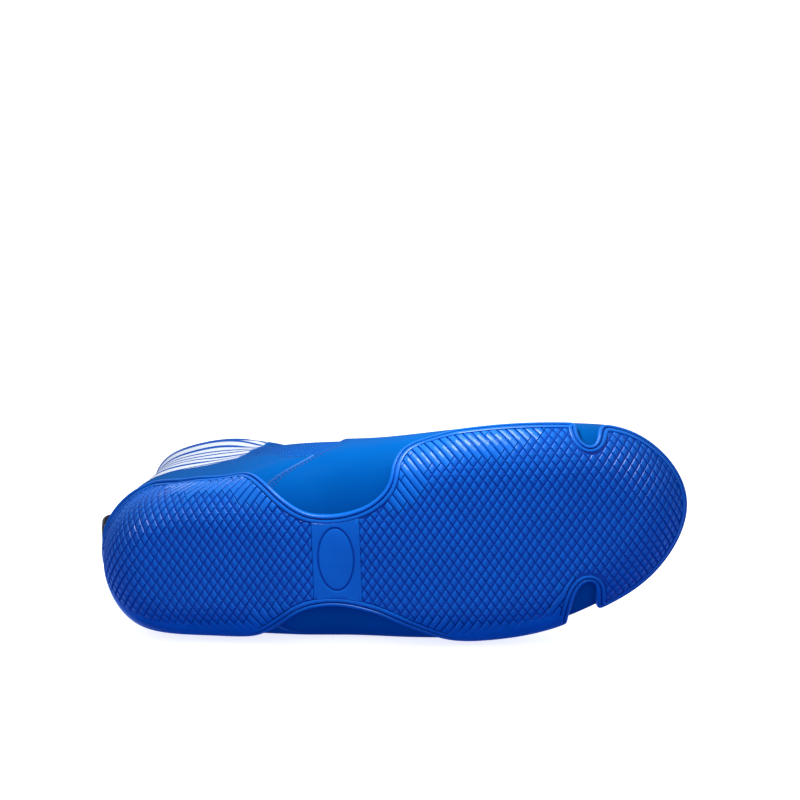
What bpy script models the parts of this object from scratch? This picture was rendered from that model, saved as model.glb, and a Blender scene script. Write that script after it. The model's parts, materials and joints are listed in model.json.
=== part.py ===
"""A left boxing shoe, lying on its lateral side with the sole turned to -Y and the toe to +X.

Every piece is worked out in the shoe's own standing frame: x runs from the back of the heel to
the toe, y is positive on the lateral side, z is up from the tread. The tables are in millimetres.
An empty then lays the whole shoe down on the face that it rests on.
"""

import math
from collections import namedtuple

import bmesh
import bpy
import numpy as np
from mathutils import Matrix, Vector
from mathutils.geometry import intersect_ray_tri

MM = 0.001

# Thicknesses and gaps, in millimetres
UPPER_WALL = 2.2
OVERLAY = 1.0
GAP = 0.3
TREAD_PLATE = 4.4
SOLE_WALL = 3.0
INSOLE = 3.0
TONGUE = 3.2
STRIP = 1.2
LACE_WIDTH = 5.5
LACE_THICK = 1.2

# Layers outward from the outer face of the upper
OVERLAY_IN = GAP
OVERLAY_OUT = GAP + OVERLAY
SOLE_IN = OVERLAY_OUT + GAP
INSOLE_OUT = UPPER_WALL + GAP
TONGUE_SLACK = 0.1
TONGUE_OUT = UPPER_WALL + GAP + TONGUE_SLACK

# The bottom line: toe spring, lifted heel end and a shallow lift under the arch
TOE_SPRING = 10.0
TOE_SPRING_FROM = 215.0
HEEL_RISE = 3.0
HEEL_RISE_FROM = 30.0
ARCH_LIFT = 2.0
ARCH_SPAN = (92.0, 150.0)
SHOE_LENGTH = 288.0
FEATHER_POWER = 2.6

# Ribs run from the heel back (first row) to the toe tip (last row), evenly numbered.
# Each rib has a point on five lines, given by station, lateral and medial offset and height.
Rib = namedtuple("Rib", "x lateral medial height")

LASTING_EDGE = (
    Rib(24, 5, 5, 6),
    Rib(28, 17, -5, 6),
    Rib(41, 24, -9, 6),
    Rib(66, 26, -9, 6),
    Rib(99, 27, 0, 6),
    Rib(137, 32, -1, 6),
    Rib(175, 36, -19, 6),
    Rib(207, 33, -20.5, 6),
    Rib(231, 24, -19, 6),
    Rib(251, 13, -13.5, 6),
    Rib(261, 0, 0, 6),
)
WIDEST_LINE = (
    Rib(4.2, 4, 4, 28),
    Rib(11, 27.7, -15.5, 27),
    Rib(29, 39.4, -24.2, 26),
    Rib(60, 43.8, -28, 25),
    Rib(98, 48, -35, 29),
    Rib(140, 52.6, -39.6, 29),
    Rib(180, 56.4, -41, 23),
    Rib(214, 52.8, -41, 22),
    Rib(243, 43.4, -39, 21),
    Rib(268, 29, -30.3, 20),
    Rib(283.8, -1, -1, 20),
)
SIDE_SWELL = (
    Rib(-12, 4, 4, 60),
    Rib(1, 28.7, -17.5, 60),
    Rib(26, 39.5, -27, 58),
    Rib(60, 42.6, -31.5, 58),
    Rib(98, 46.2, -39.5, 60),
    Rib(138, 50, -42, 58),
    Rib(178, 56, -43, 44),
    Rib(212, 53.2, -42.6, 35),
    Rib(243, 44.2, -40, 35),
    Rib(269, 29.6, -31, 35),
    Rib(285, -1, -1, 36),
)
INSTEP_TURN = (
    Rib(19, 5, 5, 95),
    Rib(20, 25.5, -17, 96),
    Rib(33, 35.5, -26, 96),
    Rib(58, 37.5, -27, 95),
    Rib(84, 36, -28, 102),
    Rib(105, 26, -17, 112),
    Rib(130, 27, -19, 93),
    Rib(167, 26, -18.5, 71),
    Rib(196, 22, -17, 61),
    Rib(222, 14.5, -13, 50),
    Rib(236, 0, 0, 46),
)
TOP_LINE = (
    Rib(5, 5, 5, 132),
    Rib(12, 28.5, -19.5, 131),
    Rib(31, 39, -29.5, 127),
    Rib(57, 40.8, -31, 125.5),
    Rib(80, 32.5, -22.5, 131),
    Rib(97, 21, -12.5, 131),
    Rib(116, 18.5, -11.5, 104),
    Rib(140, 17, -11.5, 84.5),
    Rib(165, 15, -11, 71.5),
    Rib(188, 10, -8, 62.5),
    Rib(199, 1, 1, 58.5),
)

# Grid of the upper: columns to a side, and rows from the lasting edge (0) over the widest line (1)
# to the top (2)
COLUMNS = 28
STAY_COLUMN = 14
FEATHER_ROWS = (0.0, 0.2, 0.4, 0.6, 0.8, 1.0)
RIM_ROW = 0.8
HEEL_RIM_ROW = 1.11
HEEL_PANEL_TOP = 1.22
FORE_PANEL_TOP = 1.45
STAY_ROWS = (1.80, 1.89, 1.98)
SIDE_ROWS = (HEEL_RIM_ROW, HEEL_PANEL_TOP, 1.34, FORE_PANEL_TOP, 1.56, 1.68, 1.80, 1.89, 2.0)
INSOLE_ROW = 0.6
STRIP_FOOT = 1.15
STRIP_HEAD = 1.97

# The slanted seam between the two leather panels: where it stands at the lasting edge and at the
# panel's top, the column that follows it, how many columns beside that one lean too, and half the
# slit between the panels
SEAM_FOOT = 0.33
SEAM_HEAD = 0.475
SEAM_COLUMN = 11
SEAM_SPREAD = 5
SEAM_SLIT = 0.0006

# Cuts in the outsole, seen from below: station and offset, positive on the medial side
MEDIAL_ARCH = (
    (60, 60), (62, 40), (66, 35), (72, 34.2), (77.7, 33.6), (83, 32.2), (87, 30), (91, 26.9), (95, 23),
    (100.5, 18), (105.3, 14.5), (110, 12.4), (116, 11.4), (122, 11.2), (128, 12), (134.8, 13.9), (140, 16.5),
    (144, 19.5), (147.1, 23), (148.9, 27), (149.6, 31), (151, 34.6), (154, 38.6), (158, 41.2), (163.5, 42.6),
    (170, 44.5), (176, 60),
)
LATERAL_ARCH = (
    (70, -66), (74, -50), (79, -45.6), (84, -41.6), (88.5, -38), (93, -35), (98, -32.9), (103.5, -31.7),
    (109.5, -31.5), (116, -31.9), (122.5, -33.2), (129, -35.1), (135.5, -37.5), (141, -40.3), (147, -43.8),
    (153, -47.8), (159.5, -52.6), (165, -57), (170, -62), (173, -68),
)
MEDIAL_NOTCH = (
    (236, 56), (237.3, 44), (238.4, 40), (239.6, 36.8), (241.8, 34), (245, 32.6), (247.6, 33.2), (248.8, 36),
    (249.4, 40), (250, 56),
)
LATERAL_NOTCH = (
    (222.5, -62), (226.7, -49.1), (229.4, -41.9), (232.4, -35.4), (235.6, -31.8), (238.5, -30.9), (240.8, -32),
    (241.4, -36), (240.6, -43), (239, -62),
)

# What is cut off the top of the rubber ahead of the heel, seen from the side: station and height
RIM_DROP = (
    (36, 60), (40, 34), (48, 29), (58, 24.5), (68, 20.4), (78, 17.6), (90, 16.8), (105, 17), (125, 17.2),
    (145, 16.2), (165, 14.4), (185, 13.9), (205, 13.8), (225, 14.2), (245, 15.1), (262, 17.2), (276, 20),
    (292, 23.6), (310, 60),
)
CUT_BELOW = -12.0
CUT_ABOVE = 48.0
CUT_SIDE = 90.0
CUT_STEPS = 4

# Lacing: the ribs of the pairs of holes from the top down, the row that they lie on, the share of the
# way between two pairs that a crossing leaves free at each end, and the share of a band that lies on
# the eyestay at each end
HOLE_RIBS = (0.515, 0.575, 0.64, 0.71, 0.79, 0.88)
LACE_INSET = 0.24
BAR_RIB = 0.915
HOLE_ROW = 1.9
LACE_RISE = 1.9
LACE_OVERLAP = 0.5
LACE_EDGE = 0.25
LACE_STEPS = (0.0, 0.125, 0.25, 0.5, 0.75, 0.875, 1.0)
TONGUE_ROWS = (1.80, 1.89, 2.0)
TONGUE_CROWN = 3.0
TONGUE_FULL_WIDTH = 25.0
TONGUE_TIP = 18.0
TONGUE_TAPER = 0.3
TONGUE_TIP_SHARES = (1.0, 0.66, 0.33)

# Where the shoe balances when it lies down, in the standing frame
MASS_CENTRE = Vector((128, 4, 46)) * MM

# Steps for reading the upper's slope, and the angle from which an edge is drawn sharp
SLOPE_STEP = 0.004
SHARP_DEGREES = 40

COLOURS = {
    "rubber": (0.010, 0.075, 0.45),
    "leather": (0.002, 0.14, 0.60),
    "textile": (0.75, 0.80, 0.88),
    "lining": (0.02, 0.06, 0.30),
    "webbing": (0.02, 0.02, 0.03),
    "cord": (0.80, 0.82, 0.88),
}


def bend(x):
    """How far the bottom of the shoe is lifted at a station."""
    toe = TOE_SPRING * max(0.0, (x - TOE_SPRING_FROM) / (SHOE_LENGTH - TOE_SPRING_FROM)) ** 2
    heel = HEEL_RISE * max(0.0, (HEEL_RISE_FROM - x) / HEEL_RISE_FROM) ** 2
    along = min(max((x - ARCH_SPAN[0]) / (ARCH_SPAN[1] - ARCH_SPAN[0]), 0.0), 1.0)
    return toe + heel + ARCH_LIFT * math.sin(math.pi * along) ** 2


class Loop:
    """A smooth closed line through one table: 0 at the heel back, 1 at the toe tip, 2 at the heel again."""

    def __init__(self, ribs):
        lateral = [(rib.x, rib.lateral, rib.height) for rib in ribs]
        medial = [(rib.x, rib.medial, rib.height) for rib in ribs]
        self.points = np.array(lateral + medial[-2:0:-1], float)
        self.count = len(self.points)
        rows = np.eye(self.count)
        weights = 4 * rows + np.roll(rows, 1, 1) + np.roll(rows, -1, 1)
        ahead = np.roll(self.points, -1, 0)
        behind = np.roll(self.points, 1, 0)
        self.slopes = np.linalg.solve(weights, 3 * (ahead - behind))

    def at(self, around):
        place = (around % 2.0) * self.count / 2
        first = int(place) % self.count
        second = (first + 1) % self.count
        t = place - int(place)
        start = (1 + 2 * t) * (1 - t) ** 2 * self.points[first] + t * (1 - t) ** 2 * self.slopes[first]
        end = t * t * (3 - 2 * t) * self.points[second] + t * t * (t - 1) * self.slopes[second]
        return start + end


lasting_edge = Loop(LASTING_EDGE)
widest_line = Loop(WIDEST_LINE)
side_swell = Loop(SIDE_SWELL)
instep_turn = Loop(INSTEP_TURN)
top_line = Loop(TOP_LINE)


def skin(around, row):
    """A point on the outer face of the upper."""
    wide = widest_line.at(around)
    if row <= 1.0:
        edge = lasting_edge.at(around)
        angle = max(row, 0.0) * math.pi / 2
        out = math.sin(angle) ** (2 / FEATHER_POWER)
        up = 1 - math.cos(angle) ** (2 / FEATHER_POWER)
        point = edge + (wide - edge) * np.array((out, out, up))
    else:
        u = min(row - 1.0, 1.0)
        point = (1 - u) ** 3 * wide + 3 * u * (1 - u) ** 2 * side_swell.at(around)
        point = point + 3 * u * u * (1 - u) * instep_turn.at(around) + u ** 3 * top_line.at(around)
    return point + np.array((0.0, 0.0, bend(point[0])))


def outward(around, row):
    """The direction that points out of the upper there."""
    low = min(max(row - SLOPE_STEP, 0.0), 2.0 - 2 * SLOPE_STEP)
    along = skin(around + SLOPE_STEP, row) - skin(around - SLOPE_STEP, row)
    across = skin(around, low + 2 * SLOPE_STEP) - skin(around, low)
    normal = np.cross(across, along)
    return normal / np.linalg.norm(normal)


def lifted(around, row, offset):
    """A point at a distance outside the upper's outer face, or inside it where the offset is negative."""
    return skin(around, row) + outward(around, row) * offset


def seam(row):
    """Where the slanted seam stands at a row. Above the panels it fades back to an upright column."""
    if row <= FORE_PANEL_TOP:
        return SEAM_FOOT + (SEAM_HEAD - SEAM_FOOT) * row / FORE_PANEL_TOP
    upright = SEAM_COLUMN / COLUMNS
    return upright + (SEAM_HEAD - upright) * (2.0 - row) / (2.0 - FORE_PANEL_TOP)


def column(index, row):
    """Where a column of the shared grid stands at a row. Columns near the seam lean with it."""
    turn = index % (2 * COLUMNS)
    if turn > COLUMNS:
        return 2.0 - column(2 * COLUMNS - turn, row)
    share = max(0.0, 1.0 - abs(turn - SEAM_COLUMN) / SEAM_SPREAD)
    return turn / COLUMNS + share * (seam(row) - SEAM_COLUMN / COLUMNS)


def round_columns(row):
    """The columns of a row, all the way round."""
    return [column(index, row) for index in range(2 * COLUMNS)]


def material(name, roughness):
    made = bpy.data.materials.new(name)
    made.use_nodes = True
    shader = made.node_tree.nodes["Principled BSDF"]
    shader.inputs["Base Color"].default_value = (*COLOURS[name], 1.0)
    shader.inputs["Roughness"].default_value = roughness
    made.diffuse_color = (*COLOURS[name], 1.0)
    return made


def node(name, shape, finish):
    """An object from a bmesh, laid down with the rest of the shoe."""
    bmesh.ops.recalc_face_normals(shape, faces=shape.faces)
    mesh = bpy.data.meshes.new(name)
    shape.to_mesh(mesh)
    shape.free()
    mesh.shade_smooth()
    mesh.set_sharp_from_angle(angle=math.radians(SHARP_DEGREES))
    mesh.materials.append(finish)
    made = bpy.data.objects.new(name, mesh)
    bpy.context.scene.collection.objects.link(made)
    made.parent = shoe
    return made


def grid(shape, rows, closed):
    """Quads over rows of points, in millimetres, and the vertices row by row."""
    made = [[shape.verts.new(Vector(point) * MM) for point in row] for row in rows]
    width = len(rows[0])
    for low, high in zip(made, made[1:]):
        for index in range(width if closed else width - 1):
            after = (index + 1) % width
            shape.faces.new((low[index], low[after], high[after], high[index]))
    return made


def join_edges(shape, first, second, closed):
    """A strip of quads between two rows of vertices."""
    count = len(first)
    for index in range(count if closed else count - 1):
        after = (index + 1) % count
        shape.faces.new((first[index], first[after], second[after], second[index]))


def ladder(shape, ring):
    """Closes a ring of vertices by strips that run from its lateral to its medial half."""
    half = len(ring) // 2
    for index in range(half):
        far = -index % len(ring)
        corners = [ring[index], ring[index + 1], ring[(far - 1) % len(ring)], ring[far]]
        shape.faces.new(list(dict.fromkeys(corners)))


def shell(name, low_rows, high_rows, closed, finish):
    """A wall between an inner and an outer surface of the same layout, with its edges closed."""
    shape = bmesh.new()
    inner = grid(shape, low_rows, closed)
    outer = grid(shape, high_rows, closed)
    join_edges(shape, inner[0], outer[0], closed)
    join_edges(shape, inner[-1], outer[-1], closed)
    if not closed:
        join_edges(shape, [row[0] for row in inner], [row[0] for row in outer], False)
        join_edges(shape, [row[-1] for row in inner], [row[-1] for row in outer], False)
    return node(name, shape, finish)


def cup(name, rows, inner_offset, outer_offset, finish):
    """A dish under the upper: a wall on the given rows, and a plate inside the first row."""
    shape = bmesh.new()
    low_rows = [[lifted(s, row, inner_offset(row)) for s in round_columns(row)] for row in rows]
    high_rows = [[lifted(s, row, outer_offset(row)) for s in round_columns(row)] for row in rows]
    inner = grid(shape, low_rows, True)
    outer = grid(shape, high_rows, True)
    join_edges(shape, inner[-1], outer[-1], True)
    ladder(shape, inner[0])
    ladder(shape, outer[0])
    return node(name, shape, finish)


def panel(name, columns_at, rows, inner_offset, outer_offset, finish):
    """A patch of the upper's own surface: columns_at gives the columns of a row."""
    inner = [[lifted(s, row, inner_offset) for s in columns_at(row)] for row in rows]
    outer = [[lifted(s, row, outer_offset) for s in columns_at(row)] for row in rows]
    return shell(name, inner, outer, False, finish)


def fore_columns(row):
    """Columns of the forefoot panel: from the lateral seam round the toe to the medial seam."""
    columns = [column(index, row) for index in range(SEAM_COLUMN, 2 * COLUMNS - SEAM_COLUMN + 1)]
    return [columns[0] + SEAM_SLIT] + columns[1:-1] + [columns[-1] - SEAM_SLIT]


def heel_columns(row):
    """Columns of the heel panel: from the medial seam round the heel to the lateral seam."""
    columns = [column(index, row) for index in range(-SEAM_COLUMN, SEAM_COLUMN + 1)]
    return [columns[0] + SEAM_SLIT] + columns[1:-1] + [columns[-1] - SEAM_SLIT]


def stay_columns(row):
    """Columns of the eyestay: down one side of the throat and up the other."""
    return [column(index, row) for index in range(STAY_COLUMN, 2 * COLUMNS - STAY_COLUMN + 1)]


def make_upper():
    rows = FEATHER_ROWS + SIDE_ROWS
    outer = [[skin(s, row) for s in round_columns(row)] for row in rows]
    inner = [[lifted(s, row, -UPPER_WALL) for s in round_columns(row)] for row in rows]
    return shell("upper", inner, outer, True, material("textile", 0.8))


def sole_face(row):
    """How far out the tread side lies: the rubber thins from the tread plate to the wrapped edge."""
    share = min(row / RIM_ROW, 1.0)
    return SOLE_IN + TREAD_PLATE + (SOLE_WALL - TREAD_PLATE) * share * share * (3 - 2 * share)


def smooth_line(points):
    """A smooth line through a cut's points."""
    line = []
    final = len(points) - 1
    for index in range(final):
        near = [min(max(index + step, 0), final) for step in (-1, 0, 1, 2)]
        before, start, end, after = [np.array(points[place], float) for place in near]
        for step in range(CUT_STEPS):
            t = step / CUT_STEPS
            pull = (end - before) * t * (1 - t) ** 2 / 2 + (after - start) * t * t * (t - 1) / 2
            line.append(start * (1 + 2 * t) * (1 - t) ** 2 + end * t * t * (3 - 2 * t) + pull)
    return line + [np.array(points[-1], float)]


def take_prism(sole, name, outline, depth):
    """Takes a prism out of the sole: an outline in millimetres, grown by a depth."""
    shape = bmesh.new()
    corners = [shape.verts.new(point * MM) for point in outline]
    face = shape.faces.new(corners)
    grown = bmesh.ops.extrude_face_region(shape, geom=[face])
    top = [item for item in grown["geom"] if isinstance(item, bmesh.types.BMVert)]
    bmesh.ops.translate(shape, verts=top, vec=depth * MM)
    cutter = node(name, shape, sole.data.materials[0])
    cutter.hide_render = True
    cutter.display_type = "WIRE"
    cut = sole.modifiers.new(name, "BOOLEAN")
    cut.operation = "DIFFERENCE"
    cut.object = cutter


def cut_sole(sole, name, points):
    """Takes an upright prism with the given outline, seen from below, out of the sole."""
    outline = [Vector((x, -medial, CUT_BELOW)) for x, medial in smooth_line(points)]
    take_prism(sole, name, outline, Vector((0, 0, CUT_ABOVE - CUT_BELOW)))


def drop_rim(sole):
    """Leaves the rubber high round the heel and low along the sides and the toe."""
    outline = [Vector((x, -CUT_SIDE, height)) for x, height in smooth_line(RIM_DROP)]
    take_prism(sole, "rim_cut", outline, Vector((0, 2 * CUT_SIDE, 0)))


def make_outsole():
    rows = FEATHER_ROWS + (HEEL_RIM_ROW,)
    rubber = material("rubber", 0.45)
    sole = cup("outsole", rows, lambda row: SOLE_IN, sole_face, rubber)
    cut_sole(sole, "medial_arch_cut", MEDIAL_ARCH)
    cut_sole(sole, "lateral_arch_cut", LATERAL_ARCH)
    cut_sole(sole, "medial_notch_cut", MEDIAL_NOTCH)
    cut_sole(sole, "lateral_notch_cut", LATERAL_NOTCH)
    drop_rim(sole)
    return sole


def make_insole():
    rows = [row for row in FEATHER_ROWS if row <= INSOLE_ROW]
    lining = material("lining", 0.85)
    return cup("insole", rows, lambda row: -INSOLE_OUT - INSOLE, lambda row: -INSOLE_OUT, lining)


def make_overlays():
    leather = material("leather", 0.4)
    fore_rows = FEATHER_ROWS + tuple(row for row in SIDE_ROWS if row <= FORE_PANEL_TOP)
    heel_rows = FEATHER_ROWS + tuple(row for row in SIDE_ROWS if row <= HEEL_PANEL_TOP)
    panel("forefoot_overlay", fore_columns, fore_rows, OVERLAY_IN, OVERLAY_OUT, leather)
    panel("heel_overlay", heel_columns, heel_rows, OVERLAY_IN, OVERLAY_OUT, leather.copy())
    panel("eyestay", stay_columns, STAY_ROWS, OVERLAY_IN, OVERLAY_OUT, leather.copy())


def make_heel_strip():
    """The back strip lies on the heel panel, then steps down onto the upper above it."""
    rows = [STRIP_FOOT] + [row for row in SIDE_ROWS if STRIP_FOOT < row < STRIP_HEAD] + [STRIP_HEAD]
    columns = (-1 / COLUMNS, 0.0, 1 / COLUMNS)

    def seat(row):
        return SOLE_IN if row <= HEEL_PANEL_TOP else GAP

    inner = [[lifted(s, row, seat(row)) for s in columns] for row in rows]
    outer = [[lifted(s, row, seat(row) + STRIP) for s in columns] for row in rows]
    return shell("heel_strip", inner, outer, False, material("webbing", 0.8))


def tongue_row(index, depth):
    """Points across the tongue at a column, at a depth under the upper's outer face."""
    columns = [(column(index, row), row) for row in TONGUE_ROWS]
    lateral = [lifted(rib, row, -depth) for rib, row in columns]
    medial = [lifted(2 - rib, row, -depth) for rib, row in reversed(columns)]
    rib = index / COLUMNS
    lean = outward(rib, 2.0) + outward(2 - rib, 2.0)
    lean = lean / np.linalg.norm(lean)
    width = np.linalg.norm(lateral[-1] - medial[0])
    middle = (lateral[-1] + medial[0]) / 2 + lean * TONGUE_CROWN * min(1.0, width / TONGUE_FULL_WIDTH)
    return lateral + [middle] + medial


def make_tongue():
    top = STAY_COLUMN / COLUMNS
    below = (STAY_COLUMN + 1) / COLUMNS
    climb = skin(top, 2.0) - skin(below, 2.0) + skin(2 - top, 2.0) - skin(2 - below, 2.0)
    climb = climb / np.linalg.norm(climb)
    surfaces = []
    for depth in (TONGUE_OUT + TONGUE, TONGUE_OUT):
        rows = [tongue_row(index, depth) for index in range(STAY_COLUMN, COLUMNS)]
        middle = rows[0][len(TONGUE_ROWS)]
        tip = []
        for share in TONGUE_TIP_SHARES:
            narrow = 1.0 - TONGUE_TAPER * share
            rise = climb * TONGUE_TIP * share
            tip.append([middle + (point - middle) * narrow + rise for point in rows[0]])
        surfaces.append(tip + rows)
    return shell("tongue", surfaces[0], surfaces[1], False, material("lining", 0.85))


def lace_point(start, end, along):
    """A point over the throat on the way between two holes, and the direction away from the shoe."""
    rib = start + (end - start) * along
    if along <= LACE_EDGE or along >= 1 - LACE_EDGE:
        near = min(along, 1 - along) / LACE_EDGE
        side = rib if along <= LACE_EDGE else 2 - rib
        row = HOLE_ROW + (2.0 - HOLE_ROW) * near
        return skin(side, row), outward(side, row)
    share = (along - LACE_EDGE) / (1 - 2 * LACE_EDGE)
    over = outward(rib, 2.0) * (1 - share) + outward(2 - rib, 2.0) * share
    return skin(rib, 2.0) * (1 - share) + skin(2 - rib, 2.0) * share, over / np.linalg.norm(over)


def lace_band(name, start, end, lift, cord):
    """A flat band from beside the lateral hole at one rib to beside the medial hole at another."""
    path = [lace_point(start, end, along) for along in LACE_STEPS]
    rows = []
    for index, (place, over) in enumerate(path):
        ahead = path[min(index + 1, len(path) - 1)][0] - path[max(index - 1, 0)][0]
        ahead = ahead / np.linalg.norm(ahead)
        side = np.cross(over, ahead)
        side = side / np.linalg.norm(side) * LACE_WIDTH / 2
        low = place + over * lift
        high = low + over * LACE_THICK
        rows.append([low - side, low + side, high + side, high - side])
    shape = bmesh.new()
    made = grid(shape, rows, True)
    shape.faces.new(made[0])
    shape.faces.new(made[-1])
    return node(name, shape, cord)


def make_lace():
    """One bar at the lowest holes, and a crossing of two joined bands above each pair."""
    lace_band("lace_bar", BAR_RIB, BAR_RIB, LACE_RISE, material("cord", 0.8))
    for index, (above, below) in enumerate(zip(HOLE_RIBS, HOLE_RIBS[1:])):
        inset = (below - above) * LACE_INSET
        high = above + inset
        low = below - inset
        cord = material("cord", 0.8)
        crossing = lace_band("lace_crossing_%d" % (index + 1), high, low, LACE_RISE, cord)
        band = lace_band("lace_band_%d" % (index + 1), low, high, LACE_RISE + LACE_OVERLAP, cord)
        band.hide_render = True
        band.display_type = "WIRE"
        join = crossing.modifiers.new("second band", "BOOLEAN")
        join.operation = "UNION"
        join.solver = "MANIFOLD"
        join.object = band


def lay_down():
    """Turns the shoe onto the side that it rests on, with the origin under the middle of its box."""
    pieces = [item for item in shoe.children if not item.hide_render]
    cut = bpy.context.evaluated_depsgraph_get()
    points = [vert.co.copy() for item in pieces for vert in item.evaluated_get(cut).data.vertices]
    hull = bmesh.new()
    for point in points:
        hull.verts.new(point)
    bmesh.ops.convex_hull(hull, input=hull.verts)
    hull.normal_update()
    for face in hull.faces:
        corners = [vert.co for vert in face.verts]
        if face.normal.y > 0.5 and intersect_ray_tri(*corners, face.normal, MASS_CENTRE, True):
            down = face.normal.copy()
    hull.free()
    up = -down
    forward = (Vector((1, 0, 0)) - up * up.x).normalized()
    turn = Matrix((forward, up.cross(forward), up))
    turned = np.array([turn @ point for point in points])
    low = turned.min(axis=0)
    high = turned.max(axis=0)
    middle = Vector(((low[0] + high[0]) / 2, (low[1] + high[1]) / 2, low[2]))
    shoe.matrix_world = Matrix.Translation(-middle) @ turn.to_4x4()


for old in list(bpy.data.objects):
    bpy.data.objects.remove(old)
shoe = bpy.data.objects.new("lying_shoe", None)
bpy.context.scene.collection.objects.link(shoe)
make_upper()
make_outsole()
make_insole()
make_overlays()
make_heel_strip()
make_tongue()
make_lace()
lay_down()
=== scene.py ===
"""The looks of a left boxing shoe that lies on its lateral side, with the tread towards the camera.

Shapes are worked out in the shoe's own standing frame, in millimetres: x runs from the back of the heel
to the toe, y is positive on the lateral side, z is up from the tread. Two flat spots of the tread, which
the record gives as mounts, say how the shoe lies in the model's frame.
"""

import json
import math
from collections import namedtuple

import bpy
import numpy as np
from mathutils import Matrix, Vector
from mathutils.geometry import delaunay_2d_cdt


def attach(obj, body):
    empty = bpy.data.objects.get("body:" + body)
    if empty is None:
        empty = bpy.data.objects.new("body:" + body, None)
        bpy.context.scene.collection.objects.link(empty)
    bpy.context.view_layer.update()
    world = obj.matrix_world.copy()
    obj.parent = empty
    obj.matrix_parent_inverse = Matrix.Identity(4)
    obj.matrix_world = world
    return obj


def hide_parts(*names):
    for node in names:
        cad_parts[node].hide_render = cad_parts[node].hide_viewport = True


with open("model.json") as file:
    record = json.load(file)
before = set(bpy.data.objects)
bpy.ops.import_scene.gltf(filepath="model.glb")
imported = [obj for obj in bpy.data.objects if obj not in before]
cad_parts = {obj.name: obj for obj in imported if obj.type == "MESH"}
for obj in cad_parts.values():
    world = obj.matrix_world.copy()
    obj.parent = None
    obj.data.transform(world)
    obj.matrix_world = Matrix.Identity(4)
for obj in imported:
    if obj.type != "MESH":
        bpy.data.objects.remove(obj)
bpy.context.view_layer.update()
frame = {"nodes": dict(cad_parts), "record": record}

MM = 0.001

# Where the two tread mounts lie in the standing frame
HEEL_MOUNT = np.array((62.0, 8.0, 0.0))
FOREFOOT_MOUNT = np.array((182.0, 9.0, 0.0))

# Thicknesses and gaps
UPPER_WALL = 2.2
OVERLAY = 1.0
GAP = 0.3
TREAD_PLATE = 4.4
SOLE_WALL = 3.0
OVERLAY_OUT = GAP + OVERLAY
SOLE_IN = OVERLAY_OUT + GAP
LAST_HEIGHT = 6.0

# The bottom line of the last
TOE_SPRING = 10.0
TOE_SPRING_FROM = 215.0
HEEL_RISE = 3.0
HEEL_RISE_FROM = 30.0
ARCH_LIFT = 2.0
ARCH_SPAN = (92.0, 150.0)
SHOE_LENGTH = 288.0
FEATHER_POWER = 2.6

# The last: ribs from the heel back to the toe tip, with a point on each of five lines
Rib = namedtuple("Rib", "x lateral medial height")

LASTING_EDGE = (
    Rib(24, 5, 5, 6), Rib(28, 17, -5, 6), Rib(41, 24, -9, 6), Rib(66, 26, -9, 6), Rib(99, 27, 0, 6),
    Rib(137, 32, -1, 6), Rib(175, 36, -19, 6), Rib(207, 33, -20.5, 6), Rib(231, 24, -19, 6),
    Rib(251, 13, -13.5, 6), Rib(261, 0, 0, 6),
)
WIDEST_LINE = (
    Rib(5.6, 9.5, 9.5, 28), Rib(11.6, 29, -8.2, 27), Rib(29, 39.4, -21.6, 26), Rib(60, 44.6, -27, 25),
    Rib(98, 50.2, -35, 29), Rib(140, 54.4, -39, 29), Rib(180, 56.4, -41.8, 23), Rib(214, 52.8, -42.3, 22),
    Rib(243, 43.4, -39.6, 21), Rib(268, 29, -30.3, 20), Rib(283.8, -1, -1, 20),
)
SIDE_SWELL = (
    Rib(-12, 4, 4, 60), Rib(1, 28.7, -17.5, 60), Rib(26, 39.5, -27, 58), Rib(60, 42.6, -31.5, 58),
    Rib(98, 48.8, -42.2, 60), Rib(138, 52.4, -40.4, 58), Rib(178, 56, -42, 44), Rib(212, 53.2, -42.6, 35),
    Rib(243, 44.2, -40, 35), Rib(269, 29.6, -31, 35), Rib(285, -1, -1, 36),
)
INSTEP_TURN = (
    Rib(19, 5, 5, 95), Rib(20, 25.5, -17, 96), Rib(33, 35.5, -26, 96), Rib(58, 37.5, -27, 95),
    Rib(84, 36, -28, 102), Rib(105, 26, -17, 112), Rib(130, 27, -19, 93), Rib(167, 26, -18.5, 71),
    Rib(196, 22, -17, 61), Rib(222, 14.5, -13, 50), Rib(236, 0, 0, 46),
)
TOP_LINE = (
    Rib(5, 5, 5, 132), Rib(12, 28.5, -19.5, 131), Rib(31, 39, -29.5, 127), Rib(57, 40.8, -31, 125.5),
    Rib(80, 32.5, -22.5, 131), Rib(97, 21, -12.5, 131), Rib(116, 18.5, -11.5, 104),
    Rib(140, 17, -11.5, 84.5), Rib(165, 15, -11, 71.5), Rib(188, 10, -8, 62.5), Rib(199, 1, 1, 58.5),
)

# Rows over the last: 0 at the lasting edge, 1 at the widest line, 2 at the top line
FORE_PANEL_TOP = 1.45
SEAM_SLIT = 0.0006
STAY_ROWS = (1.79, 1.985)
STAY_ENDS = (0.5, 1.5)

# The row that the rubber's rim reaches, and the places from the heel where it changes
RIM_ROW = 0.8
HEEL_RIM_ROW = 1.11
HEEL_RIM_ENDS = (0.21, 0.38)
LATERAL_RIM_ENDS = (0.0, 0.29)
LATERAL_RIM_ROW = 0.62
TOE_RIM_ENDS = (0.56, 0.72)

# The slanted seam between the two leather panels: the row, and how far round from the heel
SeamPoint = namedtuple("SeamPoint", "row around")
SEAM = (
    SeamPoint(0.0, 0.330), SeamPoint(0.54, 0.380), SeamPoint(0.8, 0.425), SeamPoint(1.1, 0.457),
    SeamPoint(1.45, 0.484),
)

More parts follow.
